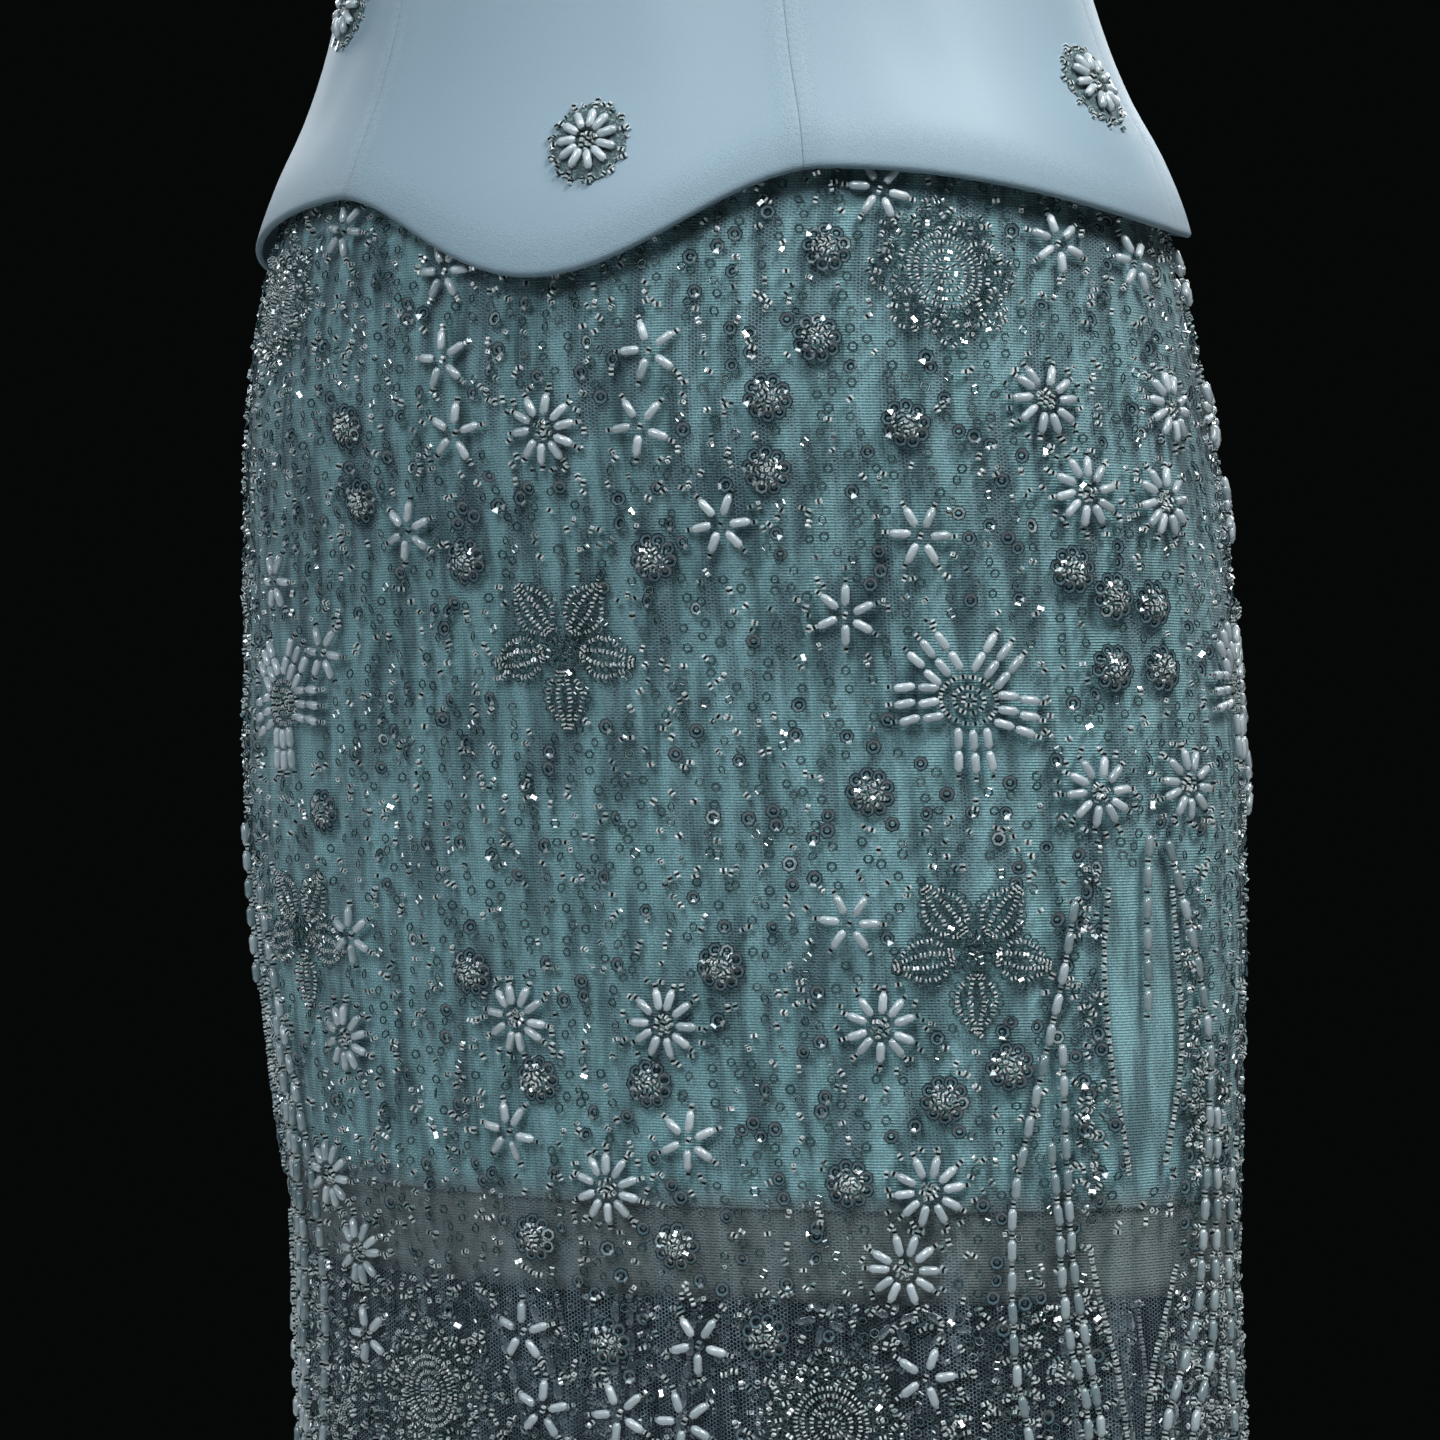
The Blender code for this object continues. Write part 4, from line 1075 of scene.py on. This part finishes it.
# STRANDS: pearls and seeds in turn down curved lines, and lines of seeds round the bare drops of net
strandPaths = {
    "first": ((68, -0.314), (67, -0.344), (67, -0.376)),
    "second": ((71, -0.316), (75, -0.342), (79, -0.368), (81, -0.388), (80, -0.432), (79, -0.460),
               (75, -0.478), (70, -0.500), (66, -0.560), (68, -0.640)),
    "third": ((56, -0.334), (54, -0.360), (51, -0.388), (48, -0.418), (47, -0.434), (47, -0.456),
              (47, -0.474), (48, -0.492), (52, -0.560), (56, -0.660)),
    "fourth": ((54, -0.378), (55, -0.430), (58, -0.480), (59, -0.498), (60, -0.600)),
    "fifth": ((52, -0.408), (53, -0.426), (54, -0.454), (55, -0.474), (57, -0.492), (57, -0.580)),
    "sixth": ((83, -0.400), (84, -0.450), (82, -0.476), (76, -0.502), (72, -0.560), (74, -0.620)),
    "seventh": ((89.4, -0.420), (89.2, -0.504), (86, -0.580), (85, -0.680)),
}
seedPaths = {
    "dropFront": ((61, -0.330), (60, -0.354), (61, -0.386), (64, -0.420)),
    "dropBack": ((72, -0.330), (73, -0.354), (74, -0.380), (71, -0.418)),
    "lowFront": ((58, -0.440), (60, -0.462), (62, -0.482), (63.5, -0.510)),
    "lowBack": ((74, -0.448), (71, -0.466), (68, -0.482), (66, -0.510)),
}
strandSizes = {"pearlPitch": 0.0071, "seedPitch": 0.0025, "backShift": 0.40, "most": 90, "samples": 400,
               "pearlSize": 1.04,
               "pearlLift": 0.0014, "seedLift": 0.0010, "edgeLift": 0.0007, "turnSpread": 0.06,
               "edgeTurnSpread": 0.15, "edgeRoll": 0.8}


def pathTable(path):
    degrees, height = np.array(sorted(path, key=lambda row: row[1])).T
    return {"height": height, "angle": np.radians(degrees)}


def alongPath(path, pitch):
    # places a pitch apart along a smooth curve through the path's points, and the heading at each
    table = pathTable(path)
    height = np.linspace(table["height"][-1], table["height"][0], strandSizes["samples"])
    angle = alongTable(table, "angle", height)
    run = lengthsAlong(skirtSurface(angle, height), 0)
    stops = np.cumsum(pitch)
    stops = stops[stops < run[-1]]
    angles, heights = np.interp(stops, run, angle), np.interp(stops, run, height)
    reach = clothFrame(skirtSurface, angles, heights)[3]
    return angles, heights, np.arctan2(np.gradient(angles) * reach, np.gradient(heights))


def fourSides(angle, heading):
    # the same line mirrored to the right side and to the back, where it hangs nearer to the middle
    behind = math.pi + strandSizes["backShift"] - angle
    return ((angle, heading), (-angle, -heading), (behind, -heading), (-behind, heading))


strandPearls = []
for path in strandPaths.values():
    both = np.full(2 * strandSizes["most"], (strandSizes["pearlPitch"] + strandSizes["seedPitch"]) / 2)
    angles, heights, heading = alongPath(path, both)
    for angle, turned in fourSides(angles, heading):
        wobble = sown.normal(0, strandSizes["turnSpread"], angle.shape)
        strandPearls.append(beadRows(angle[::2], heights[::2], (turned + wobble)[::2],
                                     strandSizes["pearlLift"], size=strandSizes["pearlSize"]))
        beads["seed"].append(beadRows(angle[1::2], heights[1::2], turned[1::2], strandSizes["seedLift"]))
for path in seedPaths.values():
    angles, heights, heading = alongPath(path, np.full(strandSizes["most"], strandSizes["seedPitch"]))
    for angle, turned in fourSides(angles, heading):
        turned = turned + sown.normal(0, strandSizes["edgeTurnSpread"], angle.shape)
        roll = sown.normal(0, strandSizes["edgeRoll"], angle.shape)
        beads["seed"].append(beadRows(angle, heights, turned, strandSizes["edgeLift"], 0.0, roll))
print("strands laid out")


# SCATTER: a brick pattern of wavy upright columns over the whole skirt, left open at the motifs and the drops
def evenAngles(count, height=-0.26, samples=721):
    # angles a like distance apart round the ring at one height, and that ring's length
    fine = np.linspace(0, 2 * math.pi, samples)
    run = lengthsAlong(skirtSurface(fine, np.full(fine.shape, height)), 0)
    return np.interp(np.linspace(0, run[-1], count, endpoint=False), run, fine), run[-1]


def inDrops(angle, height, above=0.004, aside=0.012):
    # true between the two seed lines of a bare drop and a little past them, on any of the four sides
    folded = np.abs(wrapped(angle))
    middle = math.pi + strandSizes["backShift"]
    folded = np.where(folded > middle / 2, middle - folded, folded)
    inside = np.zeros(angle.shape, bool)
    for front, back in (("dropFront", "dropBack"), ("lowFront", "lowBack")):
        low, high = pathTable(seedPaths[front]), pathTable(seedPaths[back])
        within = (height < low["height"][-1] + above) & (height > low["height"][0] - above)
        edges = [alongTable(table, "angle", height) for table in (low, high)]
        inside |= within & (folded > edges[0] - aside) & (folded < edges[1] + aside)
    return inside


def onMotif(angle, height, gap=0.0008):
    # true where a motif and its gap cover the place
    covered = np.zeros(angle.shape, bool)
    for kind, reach in reaches.items():
        middles = motifs[kind]
        metres = clothFrame(skirtSurface, np.radians(middles[:, 0]), middles[:, 1])[3]
        across = wrapped(angle[:, None] - np.radians(middles[:, 0])[None]) * metres[None]
        covered |= (np.hypot(across, height[:, None] - middles[None, :, 1]) < reach + gap).any(axis=1)
    return covered


# metres and shares; a pair of shares is for the sheer net below the slips and for the rest, and seedShares
# counts the rings too
scattering = {
    "sway": ((0.0015, 95, 1), (0.0010, 210, 2)), "shake": 0.0011, "drop": 0.0013,
    "fadeLevels": (sowing["foot"], -0.66, -0.54), "fadeShares": (0.14, 0.26, 1.0),
    "thickFoot": -0.60, "thickShare": 0.5, "thickShift": (0.0031, 0.0012),
    "ringShares": (0.34, 0.49), "seedShares": (0.92, 0.865), "sizes": (0.92, 1.10), "lift": 0.0002,
    "tips": {"ring": 0.24, "seed": 0.60, "cup": 0.20}, "twinShare": 0.30, "twinAway": 0.0023,
    "twinLift": 0.0003, "anyTurn": 6.3,
}


def scatterPlaces():
    # two sines of the height sway each column; below the slips some places are doubled, as in the photograph
    columnCount = round(evenAngles(2)[1] / sowing["roundCell"])
    columns = evenAngles(columnCount)[0]
    rows = np.arange(sowing["top"], sowing["foot"], -sowing["downCell"])
    angle, height = np.meshgrid(columns, rows, indexing="ij")
    height = height - sowing["downCell"] / 2 * (np.arange(columnCount) % 2)[:, None]
    phase = sown.uniform(0, 2 * math.pi, (columnCount, 1))
    wave = waves(scattering["sway"], height, phase)
    angle = angle + (wave + sown.normal(0, scattering["shake"], angle.shape)) / hipReach
    height = height + sown.uniform(-scattering["drop"], scattering["drop"], height.shape)
    angle, height = angle.ravel(), height.ravel()
    fade = np.interp(height, scattering["fadeLevels"], scattering["fadeShares"])
    keep = (sown.random(angle.shape) < fade) & ~inDrops(angle, height) & ~onMotif(angle, height)
    thicker = keep & (height < underslipFoot) & (height > scattering["thickFoot"])
    thicker &= sown.random(angle.shape) < scattering["thickShare"]
    aside, above = scattering["thickShift"]
    angle = np.concatenate([angle[keep], angle[thicker] + aside / hipReach])
    return angle, np.concatenate([height[keep], height[thicker] + above])


def scatter():
    # each place gets a ring, a seed or a cup, in other shares where the net is sheer, and some seeds a twin
    angle, height = scatterPlaces()
    pick = sown.random(angle.shape)
    sheer = height < underslipFoot
    rings = np.where(sheer, *scattering["ringShares"])
    seeds = np.where(sheer, *scattering["seedShares"])
    kinds = {"ring": pick < rings, "seed": (pick >= rings) & (pick < seeds), "cup": pick >= seeds}
    for kind, chosen in kinds.items():
        a, h = angle[chosen], height[chosen]
        tilt = sown.normal(0, scattering["tips"][kind], (2, len(a)))
        size = sown.uniform(*scattering["sizes"], len(a))
        turn = sown.uniform(0, scattering["anyTurn"], len(a))
        beads[kind].append(beadRows(a, h, turn, lifts[kind] + scattering["lift"], *tilt, size))
        if kind == "seed":
            twin = sown.random(len(a)) < scattering["twinShare"]
            turn = sown.uniform(0, scattering["anyTurn"], twin.sum())
            x, y = radial(scattering["twinAway"], turn)
            turn = sown.uniform(0, scattering["anyTurn"], twin.sum())
            beads["seed"].append(beadRows(a[twin] + x / hipReach, h[twin] + y, turn,
                                          lifts["seed"] + scattering["twinLift"]))


# degrees round, height, half width, half length and how many, for thicker trails of seeds and ring sequins
trails = ((57.5, -0.375, 0.0045, 0.050, 46), (57.5, -0.445, 0.0050, 0.055, 60),
          (77.5, -0.365, 0.0050, 0.045, 46), (78, -0.420, 0.0050, 0.050, 52),
          (86, -0.440, 0.0050, 0.060, 60), (86.5, -0.500, 0.0045, 0.050, 46),
          (50, -0.490, 0.0060, 0.030, 46), (62, -0.530, 0.0080, 0.030, 60),
          (40, -0.505, 0.0080, 0.020, 40))
trailing = {"crowd": 0.6, "seedShare": 0.68, "tip": 0.45, "lift": 0.0005}


def sowTrails():
    for degrees, level, halfWidth, halfLength, count in trails:
        across = sown.normal(0, halfWidth * trailing["crowd"], count) / dropReach
        height = level + sown.uniform(-halfLength, halfLength, count)
        seeds = sown.random(count) < trailing["seedShare"]
        for angle, _ in fourSides(math.radians(degrees) + across, 0.0):
            free = ~inDrops(angle, height)
            for kind, chosen in (("seed", seeds & free), ("ring", ~seeds & free)):
                n = chosen.sum()
                tilt = sown.normal(0, trailing["tip"], (2, n))
                turn = sown.uniform(0, scattering["anyTurn"], n)
                beads[kind].append(beadRows(angle[chosen], height[chosen], turn,
                                            lifts[kind] + trailing["lift"], *tilt))


scatter()
sowTrails()
print("scatter laid out")


def numbered(stem, count):
    return [f"{stem}_{i:02d}" for i in range(1, count + 1)]


def joinedRows(rows, side=None):
    # all rows of one kind in one table, or those on the front or back half
    table = np.concatenate(rows)
    front = np.cos(table[:, 0]) > 0
    return table if side is None else table[front if side == "front" else ~front]


# the range of tints that the beads of a piece are drawn from
tintRanges = {"sun": (0.5, 1.0), "leaf_flower": (0.2, 0.9), "rosette": (0.1, 0.60), "strand": (0.05, 0.70),
              "skirt": (0.5, 1.0), "top": (0.6, 1.0)}
largeMotifs = {"sun": ("pearl", suns), "leaf_flower": ("seed", leaves), "rosette": ("seed", rosettes)}
for stem, (kind, group) in largeMotifs.items():
    nodes = numbered(f"skirt_{stem}", len(motifs[stem.split("_")[0]]))
    stampBeads(f"{stem}_{kind}s", kind, skirtSurface, joinedRows(group[kind]), nodes, tintRanges[stem])
stampBeads("strand_pearls", "pearl", skirtSurface, joinedRows(strandPearls), tints=tintRanges["strand"])
stampBeads("skirt_pearls", "pearl", skirtSurface, joinedRows(beads["pearl"]), tints=tintRanges["skirt"])
stampBeads("cup_sequins", "cup", skirtSurface, joinedRows(beads["cup"]))
for side in ("front", "back"):
    stampBeads(f"seed_beads_{side}", "seed", skirtSurface, joinedRows(beads["seed"], side))
    stampBeads(f"ring_sequins_{side}", "ring", skirtSurface, joinedRows(beads["ring"], side))

# FLOWERS ON THE TOP
backing = {"radius": 0.0124, "rise": 0.0006, "lift": 0.0002, "sides": 36,
           "shares": (0.5, 0.85, 1.0, 1.0, 0.5), "rises": (1.0, 0.85, 0.35, 0.05, 0.05),
           "ragged": ((0.04, 7, 1), (0.03, 17, 0), (0.02, 29, 2))}
# edge: radius, how many seeds, height
topFlower = {"petals": 11, "pearls": 0.0068, "lift": 0.0006, "edge": ((0.0124, 22, 0.0),), "edgeSize": 0.8}


def flowerBackings(middles):
    # low discs with a ragged edge that follow the satin, closed above and below
    turn = 2 * math.pi * np.arange(backing["sides"]) / backing["sides"]
    ragged = 1 + waves(backing["ragged"], turn)
    points, faces = [], []
    for middle in middles:
        rings = []
        for share, rise in zip(backing["shares"], backing["rises"]):
            x, y = radial(backing["radius"] * share * ragged, turn)
            angle, height = (a[0] for a in sewnAt((topSurface, middle[None]), x[None], y[None]))
            lift = backing["lift"] + backing["rise"] * rise
            rings.append(topSurface(angle, height) + clothFrame(topSurface, angle, height)[2] * lift)
        poles = [ring.mean(axis=0, keepdims=True) for ring in (rings[0], rings[-1])]
        faces.append(closedTube(len(rings), backing["sides"]) + sum(map(len, points)))
        points.append(np.concatenate(rings + poles))
    points, faces = np.concatenate(points), np.concatenate(faces)
    return meshPiece("flower_backings", points, faces, finishes["backing"], sharp=50)


topSite = (topSurface, motifs["topFlower"])
flowers = daisy(topSite, topFlower["petals"], topFlower["pearls"])
flowers["seed"] += seedCluster(topSite, topFlower["edge"], topFlower["lift"], topFlower["edgeSize"])
flowerBackings(motifs["topFlower"])
for rows in flowers["pearl"]:
    rows[:, liftColumn] += topFlower["lift"]
stampBeads("top_flower_pearls", "pearl", topSurface, joinedRows(flowers["pearl"]),
           numbered("top_flower", len(motifs["topFlower"])), tintRanges["top"])
stampBeads("top_flower_seeds", "seed", topSurface, joinedRows(flowers["seed"]))
print("flowers made")

# ZIPS
zips = {
    "zip_tape_back": {"node": "top_zip", "surface": topSurface, "middle": 180, "inset": 0.0023,
                      "top": 0.1470, "foot": -0.0900, "restsOn": "satin_back_left"},
    "zip_tape_side": {"node": "skirt_zip", "surface": skirtSurface, "middle": 90, "inset": 0.0041,
                      "top": -0.0020, "foot": -0.2050, "restsOn": "underslip_front"},
}
tapeCut = {"wall": 0.0012, "hemWall": 0.0012, "rows": 30, "crowd": 1.0, "halfWidth": 0.0060, "columns": 7}
teeth = {"pitch": 0.0013, "margin": 0.003, "aside": 0.0006, "lift": 0.0003}


def makeZipTape(name, cut):
    middle = math.radians(cut["middle"])
    reach = clothFrame(cut["surface"], np.array([middle]), np.array([cut["top"]]))[3]
    columns = middle + tapeCut["halfWidth"] / reach * np.linspace(-1, 1, tapeCut["columns"])
    clothShell(name, cut["node"], cut["surface"], columns, level(cut["top"]), level(cut["foot"]),
               {**tapeCut, "inset": cut["inset"]}, finishes["tape"])
    height = np.arange(cut["top"] - teeth["margin"], cut["foot"] + teeth["margin"], -teeth["pitch"])
    aside = np.tile([-1.0, 1.0], len(height))[:len(height)] * teeth["aside"]
    lift = -cut["inset"] - tapeCut["wall"] - teeth["lift"]
    return beadRows(middle + aside / reach, height, math.pi / 2, lift)


beadKinds["tooth"] = {"size": (0.0009, 0.0024, 0.0008), "finish": "metal", "slot": "zip_metal",
                      "smooth": False,
                      "shape": turnedBead([(0.5, -0.5), (0.5, 0.5)], (-0.5, 0.5), 6, [0.0, 0.0, 0.0])}
for name, cut in zips.items():
    stampBeads(name.replace("tape", "teeth"), "tooth", cut["surface"], makeZipTape(name, cut))


def softenedCopy(name, node, body, bevel):
    # a copy of a hard node's mesh with its doubles merged and its edges rounded
    shell = bmesh.new()
    shell.from_mesh(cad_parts[node].data)
    bmesh.ops.remove_doubles(shell, verts=shell.verts, dist=0.00001)
    bmesh.ops.dissolve_limit(shell, angle_limit=math.radians(2), verts=shell.verts, edges=shell.edges)
    shared = [edge for edge in shell.edges if len(edge.link_faces) == 2]
    sharp = [edge for edge in shared if edge.calc_face_angle() > math.radians(30)]
    bmesh.ops.bevel(shell, geom=sharp, offset=bevel, segments=2, affect="EDGES", clamp_overlap=True)
    mesh = bpy.data.meshes.new(name)
    shell.to_mesh(mesh)
    shell.free()
    mesh.materials.clear()
    mesh.materials.append(finishes["metal"])
    made = bpy.data.objects.new(name, mesh)
    bpy.context.scene.collection.objects.link(made)
    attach(made, body)
    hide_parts(node)
    return made


softenedCopy("zip_slider", "top_zip_slider", "gown", 0.00018)
softenedCopy("zip_pull_tab", "top_zip_pull", "zip_pull", 0.00015)
print("zips made")

# STUDIO: a pale floor under the hem, soft lights and a camera at the photograph's angle
studio = {
    "azimuth": 26, "distance": 1.35, "lookRight": 0.0047, "lookHeight": -0.280, "focalPixels": 4006,
    "picturePixels": 1440, "sensor": 36.0, "floorDrop": 0.0015, "floorHalf": 2.2, "lampAim": -0.15,
    "world": (0.0020, 0.0024, 0.0023, 1), "worldStrength": 1.0,
}
# name: degrees right of the camera, distance, height, width, power, colour
lamps = {
    "key": (47, 1.40, 1.65, 0.70, 50, (1.0, 0.99, 0.97)),
    "front": (-24, 2.00, 1.45, 0.80, 30, (0.92, 0.97, 1.0)),
    "left": (-75, 1.80, 0.50, 0.90, 6, (0.90, 0.96, 1.0)),
    "backRight": (150, 1.90, 0.90, 1.00, 14, (0.95, 0.98, 1.0)),
    "backLeft": (-150, 1.90, 0.90, 1.00, 14, (0.95, 0.98, 1.0)),
}


def aimed(item, target):
    direction = item.location - target
    item.rotation_mode = "QUATERNION"
    item.rotation_quaternion = direction.to_track_quat("Z", "Y")


def makeStudio():
    vector = type(cadLow)
    scene = bpy.context.scene
    turn = math.radians(studio["azimuth"])
    right = vector((math.cos(turn), math.sin(turn), 0))
    towards = vector((math.sin(turn), -math.cos(turn), 0))
    target = right * studio["lookRight"] + vector((0, 0, studio["lookHeight"]))
    camera = bpy.data.objects.new("camera", bpy.data.cameras.new("camera"))
    camera.data.sensor_width = studio["sensor"]
    camera.data.lens = studio["focalPixels"] / studio["picturePixels"] * studio["sensor"]
    camera.location = target + towards * studio["distance"]
    aimed(camera, target)
    scene.collection.objects.link(camera)
    scene.camera = camera
    for name, (degrees, away, height, width, power, colour) in lamps.items():
        lamp = bpy.data.objects.new(name, bpy.data.lights.new(name, "AREA"))
        lamp.data.shape = "SQUARE"
        lamp.data.size, lamp.data.energy, lamp.data.color = width, power, colour
        swing = math.radians(degrees)
        lamp.location = (towards * math.cos(swing) + right * math.sin(swing)) * away + vector((0, 0, height))
        lamp.visible_camera = False
        aimed(lamp, vector((0, 0, studio["lampAim"])))
        scene.collection.objects.link(lamp)
    world = bpy.data.worlds.new("studio")
    world.use_nodes = True
    world.node_tree.nodes["Background"].inputs["Color"].default_value = studio["world"]
    world.node_tree.nodes["Background"].inputs["Strength"].default_value = studio["worldStrength"]
    scene.world = world
    scene.view_settings.view_transform = "Standard"

    half, level = studio["floorHalf"], cadLow.z - studio["floorDrop"]
    corners = [(-half, -half, level), (half, -half, level), (half, half, level), (-half, half, level)]
    mesh = bpy.data.meshes.new("floor")
    mesh.from_pydata(corners, [], [(0, 1, 2, 3)])
    mesh.materials.append(floorFinish())
    floor = bpy.data.objects.new("floor", mesh)
    scene.collection.objects.link(floor)


makeStudio()
print("studio made")
